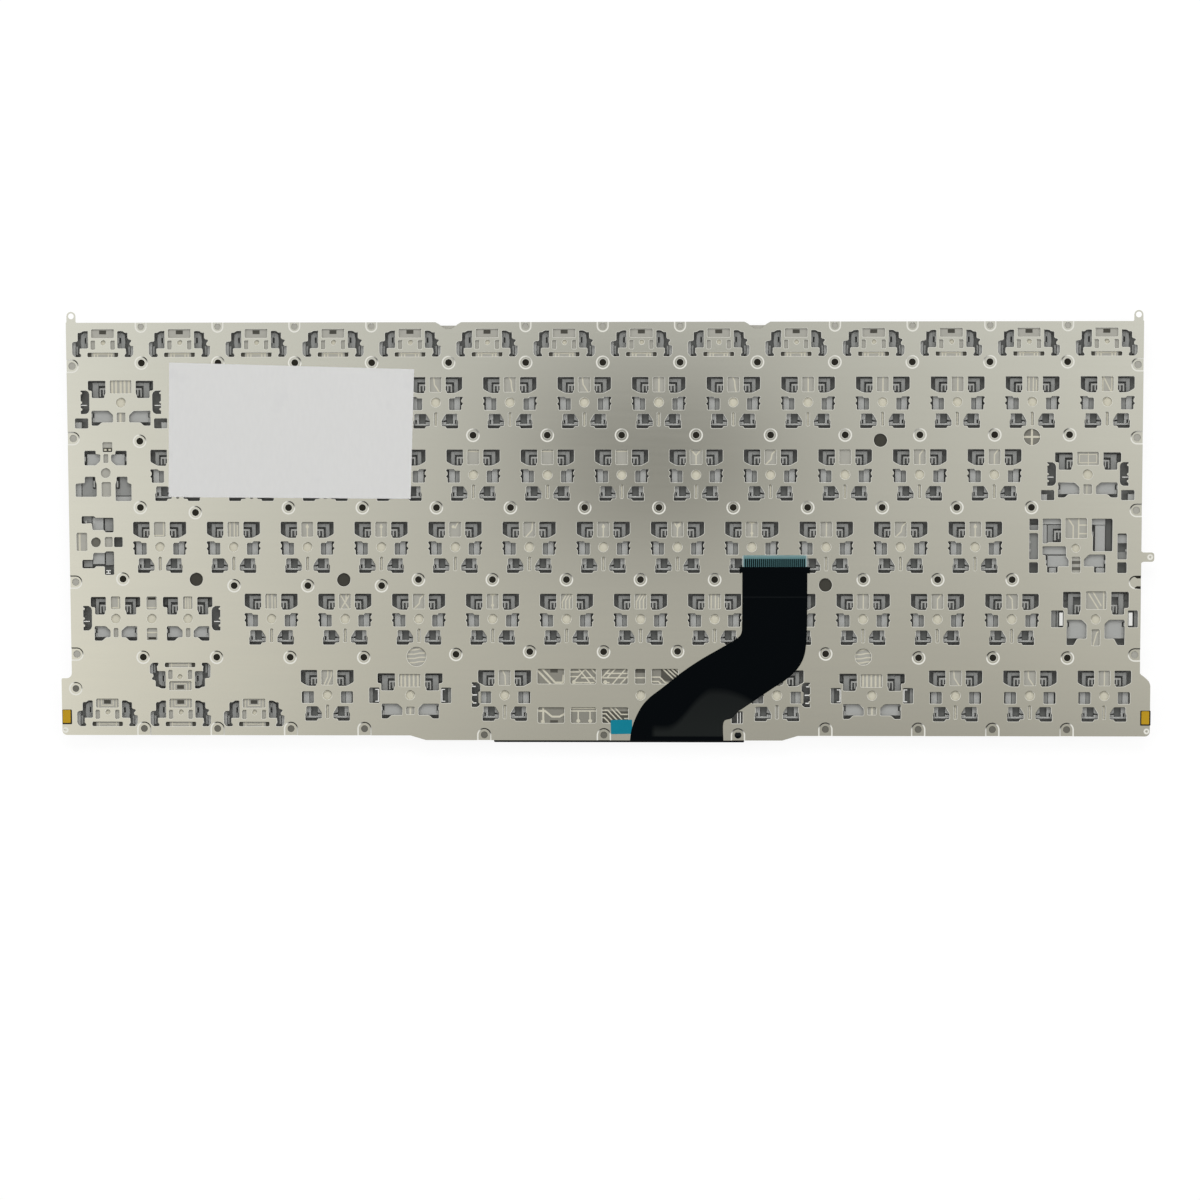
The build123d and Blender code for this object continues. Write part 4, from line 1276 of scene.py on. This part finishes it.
special_lines = {
    "half": traces(uprights(-3.6, -2.1, -2.2, -1.4, 1.4, 2.2) + [[(-2.6, -2.55), (2.6, -2.55)]],
                   [(0.1, 0.3, 0.8)]),
    "delete": traces(uprights(1.6, 6.3, -2.2, -1.2, 0.0, 1.0, 2.1) + [[(-0.2, -5.2), (-0.2, -2.4)]],
                     [CREAM], 0.55),
    "tab": traces([[(0.1, 2.0), (0.1, 6.0)], [(-2.2, 3.0), (2.2, 3.0)], [(-2.2, 5.1), (2.2, 5.1)],
                   [(-2.2, 2.9), (-2.2, 5.2)], [(2.2, 2.9), (2.2, 5.2)], [(-0.2, -5.2), (-0.2, -2.4)]],
                  [CREAM], 0.22),
    "command": traces(uprights(1.6, 6.3, -2.3, -1.3, -0.2, 0.9, 2.0) + [[(0.0, -5.4), (0.0, -2.7)]],
                      [CREAM], 0.5),
    "shift_left": traces([[(-1.9, HIGH), (0.9, 2.2)], [(-0.9, 7.3), (1.4, 3.4)], [(2.0, 2.2), (2.0, 7.3)],
                          [(-0.6, -6.9), (0.3, -3.6), (0.9, -3.0)]], [CREAM]),
    "shift_right": traces([[(-8.6, 2.2), (-8.6, 6.0)], [(-10.7, 2.8), (-8.4, 2.8)],
                           [(8.8, 2.2), (8.8, 6.0)], [(9.4, 2.2), (9.4, 6.0)], [(10.0, 2.2), (10.0, 6.0)],
                           [(-1.6, 2.85), (1.6, 2.85)], [(-1.6, -3.6), (1.6, -3.6)]],
                          [(-9.35, 0, 1.35), CREAM, (9.35, 0, 1.35)]),
    "caps": traces([[(-2.6, 7.4), (-1.2, 5.4), (-1.2, 2.0)], [(0.2, 7.4), (0.2, 2.0)],
                    [(0.3, 3.4), (2.6, 3.4)], [(0.3, 5.6), (2.6, 5.6)]], [(-0.5, -0.3, 1.2)]),
    "arrow": traces([*uprights(-3.6, -2.1, -2.2, 2.2), [(-2.6, -2.8), (2.6, -2.8)],
                     *uprights(1.3, 3.9, -2.3, 2.3), [(-1.5, 3.9), (-1.5, 2.05), (1.5, 2.05), (1.5, 3.9)]],
                    [(0.1, 0.3, 0.8)], 0.24),
    "enter": traces([[(0.2, 6.45), (0.85, 6.45)], [(1.35, 6.45), (2.0, 6.45)],
                     [(-6.5, -20.0), (-6.5, -14.8)]], [], 0.5),
    "space": traces([[(-35.7, HIGH), (-35.0, 5.1), (-34.9, LOW)], [(34.1, HIGH), (35.3, 4.4), (35.3, LOW)],
                     [(-35.1, -6.4), (-35.1, -2.3)]], [(-35.1, 0, 1.35), (35.1, 0, 1.35), CREAM]),
}
SPECIAL_NAMES = list(special_lines)
trace_shapes += special_lines.values()


def special_kind(name):
    """The number of a wide or half-height key's traces."""
    return len(LINE_NAMES) + SPECIAL_NAMES.index(name)


trace_spots = []
for lines, (x, y) in zip(letter_traces["number"], number_spots):
    trace_spots.append((LINE_NAMES.index(lines), x, y - HUB_DROP, 0))
trace_spots += [(special_kind("half"), x, y, 0) for x, y in function_spots]
trace_spots += [(special_kind("arrow"), x, y, 0) for x, y in arrow_spots]
trace_spots.append((special_kind("arrow"), *up_spot, 180))
for name, key in travelling.items():
    if "_row_key_" in name:
        row, number = name.split("_row_key_")
        shape_number = LINE_NAMES.index(letter_traces[row][int(number) - 1])
    else:
        shape_number = special_kind("tab" if name == "tab_key" else key.kind)
    trace_spots.append((shape_number, key.x, key.y, 0))

# Lines in the windows beside the space key, in shares of each window across and down from its upper corner
window_lines = [
    [[(-0.02, 0.06), (0.5, 1.05)], [(0.16, -0.05), (0.66, 0.93), (0.95, 0.93), (0.98, 0.4)]],
    [[(0.3, -0.05), (0.82, 1.05)], [(0.55, -0.05), (1.05, 0.95)], [(0.8, -0.05), (1.05, 0.42)],
     [(0.08, 0.95), (0.56, 0.05)], [(-0.05, 0.2), (0.36, 0.2)], [(-0.05, 0.52), (0.3, 0.52)],
     [(0.2, 0.93), (0.95, 0.93)], [(0.42, 0.6), (0.95, 0.6)]],
    [[(0.0, 0.6), (0.34, -0.05)], [(0.2, 0.6), (0.54, -0.05)], [(0.4, 1.05), (0.94, -0.05)],
     [(0.15, 0.3), (1.05, 0.3)], [(-0.05, 0.6), (1.05, 0.6)], [(0.7, 1.05), (1.05, 0.4)],
     [(0.05, 0.93), (0.3, 0.93)]],
    [[(0.4, -0.05), (0.86, 0.75)], [(0.56, -0.05), (0.97, 0.62)], [(0.72, -0.05), (1.05, 0.46)],
     [(0.88, -0.05), (1.05, 0.2)], [(-0.05, 0.55), (0.3, 0.55), (0.52, 0.95), (1.05, 0.95)],
     [(-0.05, 0.85), (0.25, 0.85), (0.36, 1.05)]],
    [[(-0.05, 0.6), (1.05, 0.6)]],
    [[(-0.05, 0.23), (0.27, 0.23), (0.53, 0.6), (0.82, 0.6), (1.05, 0.38)], [(0.2, -0.05), (0.2, 1.0)]],
    [[(-0.05, 0.23), (1.05, 0.23)], [(-0.05, 0.06), (1.05, 0.06)], [(0.29, 0.23), (0.29, 0.95)],
     [(0.76, 0.23), (0.76, 0.95)]],
    [[(-0.05, 0.18), (0.21, 0.18), (0.7, 1.05)], [(-0.05, 0.41), (0.14, 0.41), (0.5, 1.05)],
     [(-0.05, 0.66), (0.08, 0.66), (0.3, 1.05)], [(0.28, -0.05), (0.84, 0.95), (1.05, 0.95)],
     [(0.46, -0.05), (0.72, 0.45), (1.05, 0.45)], [(0.84, 0.72), (1.05, 0.72)]],
]
window_shades = [[(0.48, -0.1, 0.76, 0.25)], [], [], [(0.35, 0.0, 1.1, 0.8)], [(-0.1, -0.1, 1.1, 0.26)],
                 [(0.46, 0.83, 0.76, 1.1)], [], [(0.0, 0.25, 1.1, 1.1)]]


def window_point(window, u, v):
    """A point of a window by its shares across and down from the upper corner."""
    x0, y0, x1, y1 = window
    return x0 + u * (x1 - x0), y1 - v * (y1 - y0)


lone_traces, window_prints = Shape(), Shape()
for window, lines, shades in zip(trace_windows, window_lines, window_shades):
    window_prints.prism(offset(box(*window), 0.3), FILM_TOP, FILM_TOP + 0.004, 0.0, 1.0)
    for i, line in enumerate(lines):
        points = [window_point(window, u, v) for u, v in line]
        stroke(lone_traces, points, 0.5 if len(lines) == 2 else 0.34, LINE_HEIGHT + LINE_STEP * i)
    for u0, v0, u1, v1 in shades:
        shade = box(*window_point(window, u0, v1), *window_point(window, u1, v0))
        window_prints.prism(shade, FILM_TOP, FILM_TOP + 0.008, 0.0, 0.3)
for x, y in ((-15.75, -50.6), (-6.6, -50.4), (-3.55, -50.4), (-7.7, -40.3), (0.4, -40.3)):
    lone_traces.prism(disc(0.5, x, y, 16), FILM_TOP, FILM_TOP + PAD_HEIGHT, 0.0)
cross_x, cross_y, _ = round_windows[0]
stroke(lone_traces, [(cross_x - 3, cross_y), (cross_x + 3, cross_y)], 0.5)
stroke(lone_traces, [(cross_x, cross_y - 3), (cross_x, cross_y + 3)], 0.5, 0.02)
for x, y, _ in round_windows[1:]:
    for low in (y - 1.6, y - 0.5, y + 0.6, y + 1.7):
        stroke(lone_traces, [(x - 3, low), (x - 0.6, low), (x + 0.8, low + 0.3), (x + 3, low + 0.3)], 0.36)
trace_spots.append((len(trace_shapes), 0, 0, 0))
trace_meshes = [shape.mesh("trace") for shape in trace_shapes + [lone_traces]]
trace_mesh = laid_out("traces", trace_meshes, trace_spots, ink)
piece("printed_traces", trace_mesh, "chassis", None, "contact_film")


def print_and_shade_shape(loops, tone, height):
    """Dark print on the contact sheet, or dark spots of painted shade, by tone."""
    shape = Shape()
    for loop in loops:
        shape.prism(loop, FILM_TOP, FILM_TOP + height, 0.0, tone)
    return shape.mesh("print")


half_prints = [box(-0.9, 2.45, 0.9, 3.45)] + both(box(2.95, -3.6, 4.2, -2.1))
# Kinds 0 and 1: black and dark grey discs under the screw holes and dots, partly a black frame beneath and
# partly painted shade of the cavity. Kind 4: grey discs under the holes of the edge seats, painted shade of
# the floor seen through them.
print_and_shade_shapes = [
    print_and_shade_shape([disc(1.3)], 0.0, 0.012), print_and_shade_shape([disc(1.9)], 0.15, 0.012),
    print_and_shade_shape(half_prints, 0.23, 0.01),
    print_and_shade_shape([box(-1.0, 4.9, 1.0, 5.5), box(-1.0, -5.4, 1.0, -4.8)], 0.1, 0.01),
    print_and_shade_shape([disc(1.3)], 0.56, 0.012), print_and_shade_shape([disc(2.3)], 0.8, 0.006),
    print_and_shade_shape([disc(1.5)], 0.55, 0.006),
    print_and_shade_shape([box(-1.7, -4.4, 0.9, -3.6), box(-1.7, -6.0, 0.9, -5.2)], 0.47, 0.006),
    window_prints.mesh("print"), print_and_shade_shape([box(0.0, 5.8, 2.3, 7.0)], 0.2, 0.008),
]
ear_seat = seat_spots[-1]
front_spots = [(x, FRONT_Y + depth) for x, depth, _, _ in front_seats]
lip_spots = [(x, LIP_Y + depth) for x, depth, _, _ in lip_seats[:2]]
print_and_shade_spots = [(0, x, y, 0) for x, y in seat_spots[:-1]] + [(1, x, y, 0) for x, y in dot_spots]
print_and_shade_spots += [(2, x, y, 0) for x, y in function_spots + arrow_spots] + [(2, *up_spot, 180)]
print_and_shade_spots += [(3, *hub("shift_right_key"), 0), (7, *hub("caps_key"), 0), (8, 0, 0, 0)]
print_and_shade_spots += [(4, x, y, 0) for x, y in [ear_seat] + front_spots + lip_spots]
print_and_shade_spots += [(5, *round_windows[0][:2], 0), (6, -130.84, -4.1, 0), (9, *hub("enter_key"), 0)]
print_and_shade_mesh = laid_out("prints", print_and_shade_shapes, print_and_shade_spots, black)
piece("black_print", print_and_shade_mesh, "chassis", None, "contact_film")

# Black wedges in the slits beside the boss that the +X edge cuts: painted shade
boss_gaps = Shape()
for side in (-1, 1):
    wedge = [(136.1, side * 1.35), (136.7, side * 1.0), (SIDE_X - 0.05, side * 1.05),
             (SIDE_X - 0.05, side * 1.68)]
    boss_gaps.prism([(x, y - 14.4) for x, y in wedge], BACK - SEAT_DEPTH - 0.01, BACK - 0.03, 0.0)
piece("boss_gaps", boss_gaps.mesh("boss_gaps"), "chassis", black, "plate_metal")

# ---- Hooks of the plate, scissor links and domes ----


def hook_shape(name):
    """Bent hooks and stabiliser bars of one key, in its hub's place."""
    shape = Shape()
    # Hooks get tone 0, the darker colour of painted shade; bars get tone 1, partly a painted highlight.
    for loops, tone in ((SETS[name]["hooks"], 0.0), (SETS[name].get("bars", []), 1.0)):
        for loop in loops:
            shape.prism(loop, LINK_TOP + 0.05, BACK - 0.15, 0.04, tone)
    return shape.mesh("hooks")


hook_mesh = laid_out("hooks", [hook_shape(name) for name in SET_NAMES], set_spots(all_sets), hook_metal)
piece("plate_hooks", hook_mesh, "chassis", None, "plate_metal")


DOME_RADIUS = 2.2
DOME_RADII = {"half": 2.0, "half_turned": 2.0, "space": 2.6, "shift_right": 2.6}
DOME_TONE = 0.35
WELL_LOW, WELL_HIGH = 1.55, 2.05
# Layers of the links: name, underside, top, tone
LINK_LAYERS = (("deep", 1.9, 2.55, 0.14), ("mid", 2.3, LINK_TOP - 0.08, 0.58),
               ("pale", 2.35, LINK_TOP, 1.0))


def dome(shape, x, y, radius):
    """A rubber dome from the contact sheet down to the key, its tip a small plunger."""
    steps = [(radius, FILM_UNDER), (radius, FILM_UNDER - 0.12), (radius * 0.9, 3.0), (radius * 0.62, 2.35),
             (radius * 0.42, 1.85), (radius * 0.38, KEY_BACK + 0.08), (radius * 0.32, KEY_BACK + 0.03)]
    rings = [shape.ring(disc(r, x, y, 16), z, DOME_TONE) for r, z in steps[::-1]]
    shape.stack(rings)
    shape.faces.append(tuple(rings[0][::-1]))
    shape.faces.append(tuple(rings[-1]))


def link_shape(name):
    """Scissor links and dome of one key, in its hub's place, with well floors and deep pieces whose dark
    tones are partly painted shade.
    """
    shape = Shape()
    for loop in SETS[name]["through"]:
        # Dark grey well floors under every opening stand for the shaded cavity beneath: painted shade.
        shape.prism(offset(loop, 0.2), WELL_LOW, WELL_HIGH, 0.0, 0.38 if len(loop) < 18 else 0.25)
    # The deep layer's dark tone is partly painted shade of the openings' depths.
    for layer, low, high, tone in LINK_LAYERS:
        for loop in SETS[name][layer]:
            shape.prism(loop, low, high, 0.06, tone)
    for x in (-SPACE_REACH, 0, SPACE_REACH) if name == "space" else (0,):
        dome(shape, x, 0, DOME_RADII.get(name, DOME_RADIUS))
    return shape.mesh("links", 40)


link_shelf = shelf("links", [link_shape(name) for name in SET_NAMES])
fixed_mesh = grown(set_out, spots_mesh(set_spots(fixed_sets)), Shapes=link_shelf, Finish=plastic)
piece("links_fixed", fixed_mesh, "chassis", None, "dome_rubber", "rubber_domes")
for name, key in travelling.items():
    joint, kind, x, y = key[:4]
    mesh = grown(set_out, spots_mesh(set_spots([(kind, x, y)])), Shapes=link_shelf, Finish=plastic)
    links = piece(name.replace("_key", "_links"), mesh, "chassis", None, "dome_rubber")
    x * MM
    y * MM
    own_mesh(links)
clear_shelf(link_shelf)

# ---- Keys ----

key_steps = [(0.0, KEY_BACK), (-0.06, 0.5), (-0.12, 0.3), (-0.24, 0.14), (-0.42, 0.045), (-0.7, 0.0),
             (-2.2, 0.035), (-3.4, 0.05)]
hollow_steps = [(0.0, KEY_BACK), (-0.8, KEY_BACK), (-0.95, 0.62)]


def key_cap(shape, loop):
    """A key with a softly dished top at z = 0 and a hollow back."""
    loop = eased(turned(loop), 1.1, 4)
    outside = [shape.ring(offset(loop, grow), z) for grow, z in key_steps]
    shape.stack(outside[::-1])
    shape.faces.append(tuple(outside[-1][::-1]))
    inside = [shape.ring(offset(loop, grow), z, 1.0) for grow, z in hollow_steps]
    shape.stack(inside)
    shape.faces.append(tuple(inside[-1]))


def key_mesh(name, loops):
    """The keys of one piece."""
    shape = Shape()
    for loop in loops:
        key_cap(shape, loop)
    return shape.mesh(name, 35)


for name, key in travelling.items():
    piece(name.replace("_key", "_cap"), key_mesh(name, [key.loop]), name, key_black, "key_plastic", name)
FUNCTION_HALF_WIDTH, FUNCTION_HALF_DEPTH = 8.266, 3.95
function_key = box(-FUNCTION_HALF_WIDTH, -FUNCTION_HALF_DEPTH, FUNCTION_HALF_WIDTH, FUNCTION_HALF_DEPTH)
fixed_keys = {
    "function_row_keys": [moved([function_key], x, y)[0] for x, y in function_spots],
    "number_row_keys": [key_loop(x, y, 1, KEY_DEPTH) for x, y in number_spots],
    "arrow_keys": [key_loop(x, y, 1, HALF_KEY_DEPTH) for x, y in arrow_spots + [up_spot]],
}
for name, loops in fixed_keys.items():
    piece(name.replace("_keys", "_caps"), key_mesh(name, loops), "chassis", key_black, "key_plastic", name)

# ---- Ribbon tail, label and tapes ----

RIBBON_THICKNESS = 0.14
left_line = [(35.65, -10.4), (35.65, -18.0), (35.6, -25.0), (35.4, -27.6), (34.0, -29.1), (30.0, -31.5),
             (25.0, -34.4), (20.0, -37.8), (15.0, -41.8), (12.0, -44.1), (9.9, -46.4), (8.3, -49.3),
             (7.2, -52.4), (6.75, -55.2)]
right_line = [(52.35, -10.4), (52.35, -18.0), (52.3, -25.0), (52.1, -30.2), (51.5, -33.7), (49.9, -36.7),
              (47.0, -39.5), (44.0, -41.5), (40.0, -44.2), (35.6, -47.2), (34.4, -48.0), (33.0, -49.6),
              (30.9, -50.6), (30.85, -55.2)]


def ribbon_mesh():
    """Black film from the contacts to the front edge, where it folds down to the contact sheet."""
    across = 10
    left, right = smooth_line(left_line, 5), smooth_line(right_line, 5)
    rows = []
    for i, (a, b) in enumerate(zip(left, right)):
        run = i / (len(left) - 1)
        lift = 0.09 * sin(pi * min(1, run * 1.05)) ** 2
        row = []
        for k in range(across + 1):
            row.append((*a.lerp(b, k / across), BACK + 0.02 + lift * (1 - 0.7 * k / across)))
        rows.append(row)
    last = rows[-1]
    for y, z in ((-55.42, BACK - 0.02), (-55.5, BACK - 0.12), (-55.51, 3.75), (-55.51, 3.5),
                 (-55.46, 3.36)):
        rows.append([(x, y, z) for x, _, _ in last])
    shape = Shape()
    upper, lower = [], []
    for j, row in enumerate(rows):
        out = Vector((0, 0, 1)) if j < len(left) else Vector((0, -1, 0.25)).normalized()
        if j == len(left) - 1:
            out = Vector((0, -0.3, 1)).normalized()
        upper.append([shape.point(*(Vector(q) + out * RIBBON_THICKNESS)) for q in row])
        lower.append([shape.point(*q) for q in row])
    for sheet, flip in ((upper, True), (lower, False)):
        for a, b in zip(sheet, sheet[1:]):
            shape.open_strip(*((b, a) if flip else (a, b)))
    for a in range(len(rows) - 1):
        b = a + 1
        shape.faces.append((lower[a][0], upper[a][0], upper[b][0], lower[b][0]))
        shape.faces.append((lower[b][-1], upper[b][-1], upper[a][-1], lower[a][-1]))
    shape.open_strip(upper[0], lower[0])
    shape.open_strip(lower[-1], upper[-1])
    for x0, x1 in ((34.95, 36.2), (51.8, 53.05)):
        shape.prism(eased(box(x0, -11.9, x1, -10.42), 0.3, 3), BACK + 0.01, BACK + 0.17, 0.04)
    shape.prism(eased(box(35.2, -11.9, 52.8, -10.45), 0.2), BACK + 0.02, BACK + 0.19, 0.04)
    return shape.mesh("ribbon", 40)


piece("ribbon_tail", ribbon_mesh(), "chassis", ribbon_black, "ribbon_film", "ribbon_cable")

strip_shape = Shape()
strip_shape.prism(eased(box(35.65, -10.45, 52.35, -7.4), 0.35, 3), BACK + 0.01, BACK + 0.16, 0.03)
piece("strip_stiffener", strip_shape.mesh("strip"), "chassis", strip_teal, "contact_strip",
      "ribbon_contacts")
finger = Shape()
finger.prism(eased(box(36.29, -10.42, 36.66, -8.3), 0.1), BACK + 0.15, BACK + 0.18, 0.01)
fingers_mesh = grown(comb, finger.mesh("finger"), Count=30, Pitch=0.52 * MM, Finish=carbon)
piece("contact_fingers", fingers_mesh, "chassis", None, "contact_strip")

front_strip = Shape()
front_strip.prism(eased(box(-28.4, -55.95, 36.2, -53.4), 0.2), FILM_UNDER - 0.006, FILM_TOP + 0.006, 0.0)
piece("front_strip", front_strip.mesh("front_strip"), "chassis", ribbon_black, "ribbon_film")


PAPER_THICKNESS = 0.085
LABEL_CORNERS = ((-111.8, 7.65), (-49.45, 7.15), (-111.2, 42.2), (-48.3, 40.4))


def label_mesh():
    """Thin paper that follows the plate, a little wavy."""
    across, down = 56, 30
    low_left, low_right, high_left, high_right = (Vector(p) for p in LABEL_CORNERS)
    shape = Shape()

    def sheet(lift):
        """One face of the paper, as rows of points."""
        rows = []
        for j in range(down + 1):
            line = []
            for i in range(across + 1):
                u, v = i / across, j / down
                x, y = low_left.lerp(low_right, u).lerp(high_left.lerp(high_right, u), v)
                wave = 0.012 * sin(u * 19.4) * cos(v * 9.1) + 0.008 * sin(u * 56.0 + v * 20.0)
                line.append(shape.point(x, y, BACK + 0.022 + wave + lift))
            rows.append(line)
        return rows

    top, low = sheet(PAPER_THICKNESS), sheet(0.0)
    for a, b in zip(top, top[1:]):
        shape.open_strip(a, b)
    for a, b in zip(low, low[1:]):
        shape.open_strip(b, a)
    shape.open_strip(low[0], top[0])
    shape.open_strip(top[-1], low[-1])
    shape.open_strip([line[0] for line in top], [line[0] for line in low])
    shape.open_strip([line[-1] for line in low], [line[-1] for line in top])
    return shape.mesh("label", 40)


piece("label_sheet", label_mesh(), "chassis", paper, "label_paper", "paper_label")

tab_shape = Shape()
tab_shape.prism(eased([(1.85, -53.8), (7.3, -53.7), (7.3, -50.0), (1.75, -50.1)], 0.25, 2), BACK + 0.005,
                BACK + 0.09, 0.03)
piece("tab_tape_film", tab_shape.mesh("tab_tape"), "chassis", teal, "teal_tape", "tab_tape")
# Each amber tape lies on a larger black pad, a dark rim of painted shadow around it.
side_shape, side_tape_shadow = Shape(), Shape()
for film_box, shadow_box in ((box(-140.2, -51.05, -138.15, -47.65), box(-140.3, -51.4, -137.8, -47.55)),
                           (box(138.15, -51.05, 140.15, -47.65), box(137.85, -51.4, 140.5, -47.5))):
    side_shape.prism(eased(film_box, 0.15), BACK + 0.02, BACK + 0.1, 0.03)
    side_tape_shadow.prism(eased(shadow_box, 0.15), BACK + 0.002, BACK + 0.03, 0.0)
piece("side_tape_films", side_shape.mesh("side_tapes"), "chassis", amber, "amber_tape", "side_tapes")
piece("side_tape_edges", side_tape_shadow.mesh("side_tape_edges"), "chassis", black, "amber_tape")

# ---- Floor, light and camera ----


def floor_finish():
    """Pale floor that shows white and keeps the shadow."""
    finish = Finish("floor")
    camera, mirror, clear = finish.light_path()
    look = camera + mirror + clear
    clouds = finish.noise(3.0)
    colour = finish.blend(clouds, (0.88, 0.88, 0.88, 1), (0.9, 0.9, 0.9, 1))
    matt = finish.add("ShaderNodeBsdfDiffuse", None, {"Color": colour})
    glow = finish.add("ShaderNodeEmission", None, {"Color": (1, 1, 1, 1), "Strength": 1.05})
    x, y = finish.along(0), finish.along(1)
    away = (x * x + y * y).above(250000.0, 300000.0)
    share = look.at_most(1.0) * (away * 0.16 + 0.84)
    mixed = finish.add("ShaderNodeMixShader", None, {0: share, 1: matt, 2: glow})
    finish.add("ShaderNodeOutputMaterial", None, {"Surface": mixed})
    return finish.material


floor_shape = Shape()
floor_shape.faces.append(tuple(floor_shape.ring(box(-4000, -4000, 4000, 4000), -0.02)))
floor_mesh = floor_shape.mesh("floor")
floor_mesh.materials.append(floor_finish())
floor = bpy.data.objects.new("floor", floor_mesh)
bpy.context.scene.collection.objects.link(floor)


def within(value, limit):
    """A value held between a limit and its negative."""
    return value.at_most(limit).at_least(-limit)


def studio_world():
    """Even white surroundings, with the dark front of the camera overhead in reflections."""
    world = bpy.data.worlds.new("studio")
    bpy.context.scene.world = world
    world.use_nodes = True
    nodes = Nodes(world.node_tree)
    nodes.tree.nodes.clear()
    camera, mirror, clear = nodes.light_path()
    way = nodes.add("ShaderNodeTexCoord", out="Generated")
    east, north, height = (nodes.add("ShaderNodeSeparateXYZ", None, {0: way}, out=i) for i in range(3))
    up = height.at_least(0.05)
    x = within(east / up * 7.14 + 0.21, 1.2)
    y = within(north / up * 18.2 + 1.61, 1.2)
    far = (x - 0.083) * (x - 0.083) / 0.07 + (y - 0.364) * (y - 0.364) / 0.21
    spot = far.math("EXPONENT", far * -1.0) * 0.245
    even = 0.406 - x * 0.073 + y * 0.059 + x * x * 0.146 + x * y * 0.048
    overhead = (even - spot - (0 - y).above(0.92, 0.16) * 0.03) / 0.6
    front = (0 - north).above(0.25, 0.5) * (1 - height.above(0.185, 0.05))
    sides = (0.95 - front * 0.92) * (height.above(0.085, 0.03) * 0.6 + 0.4)
    near = up.above(0.955, 0.03)
    shine = overhead * near + sides * (1 - near)
    level = camera + clear + mirror * shine
    seen = camera + clear + mirror
    rest = (1 - seen.at_most(1.0)) * 0.42
    background = nodes.add("ShaderNodeBackground", None, {"Color": (1, 1, 1, 1), "Strength": level + rest})
    nodes.add("ShaderNodeOutputWorld", None, {"Surface": background})


studio_world()


def soft_light(name, place, size, power):
    """A large soft lamp that faces the keyboard."""
    lamp = bpy.data.lights.new(name, "AREA")
    lamp.shape = "RECTANGLE"
    lamp.size, lamp.size_y = size
    lamp.energy = power
    made = bpy.data.objects.new(name, lamp)
    made.location = place
    made.rotation_euler = (-Vector(place)).to_track_quat("-Z", "Y").to_euler()
    made.visible_glossy = False
    bpy.context.scene.collection.objects.link(made)


soft_light("rear_light", (0.0, 1.15, 0.95), (1.4, 0.6), 12.0)
soft_light("left_light", (-1.2, 0.25, 0.9), (0.7, 0.7), 5.4)
soft_light("right_light", (1.2, 0.25, 0.9), (0.7, 0.7), 5.4)

lens = bpy.data.cameras.new("camera")
lens.lens = 116.94
lens.sensor_width = 36.0
lens.clip_start, lens.clip_end = 0.05, 20.0
camera = bpy.data.objects.new("camera", lens)
camera.location = (0.02943, 0.08859, 1.0)
camera.rotation_euler = (-0.107612, 0.030123, -0.002858)
bpy.context.scene.collection.objects.link(camera)
bpy.context.scene.camera = camera
bpy.context.scene.view_settings.view_transform = "Standard"
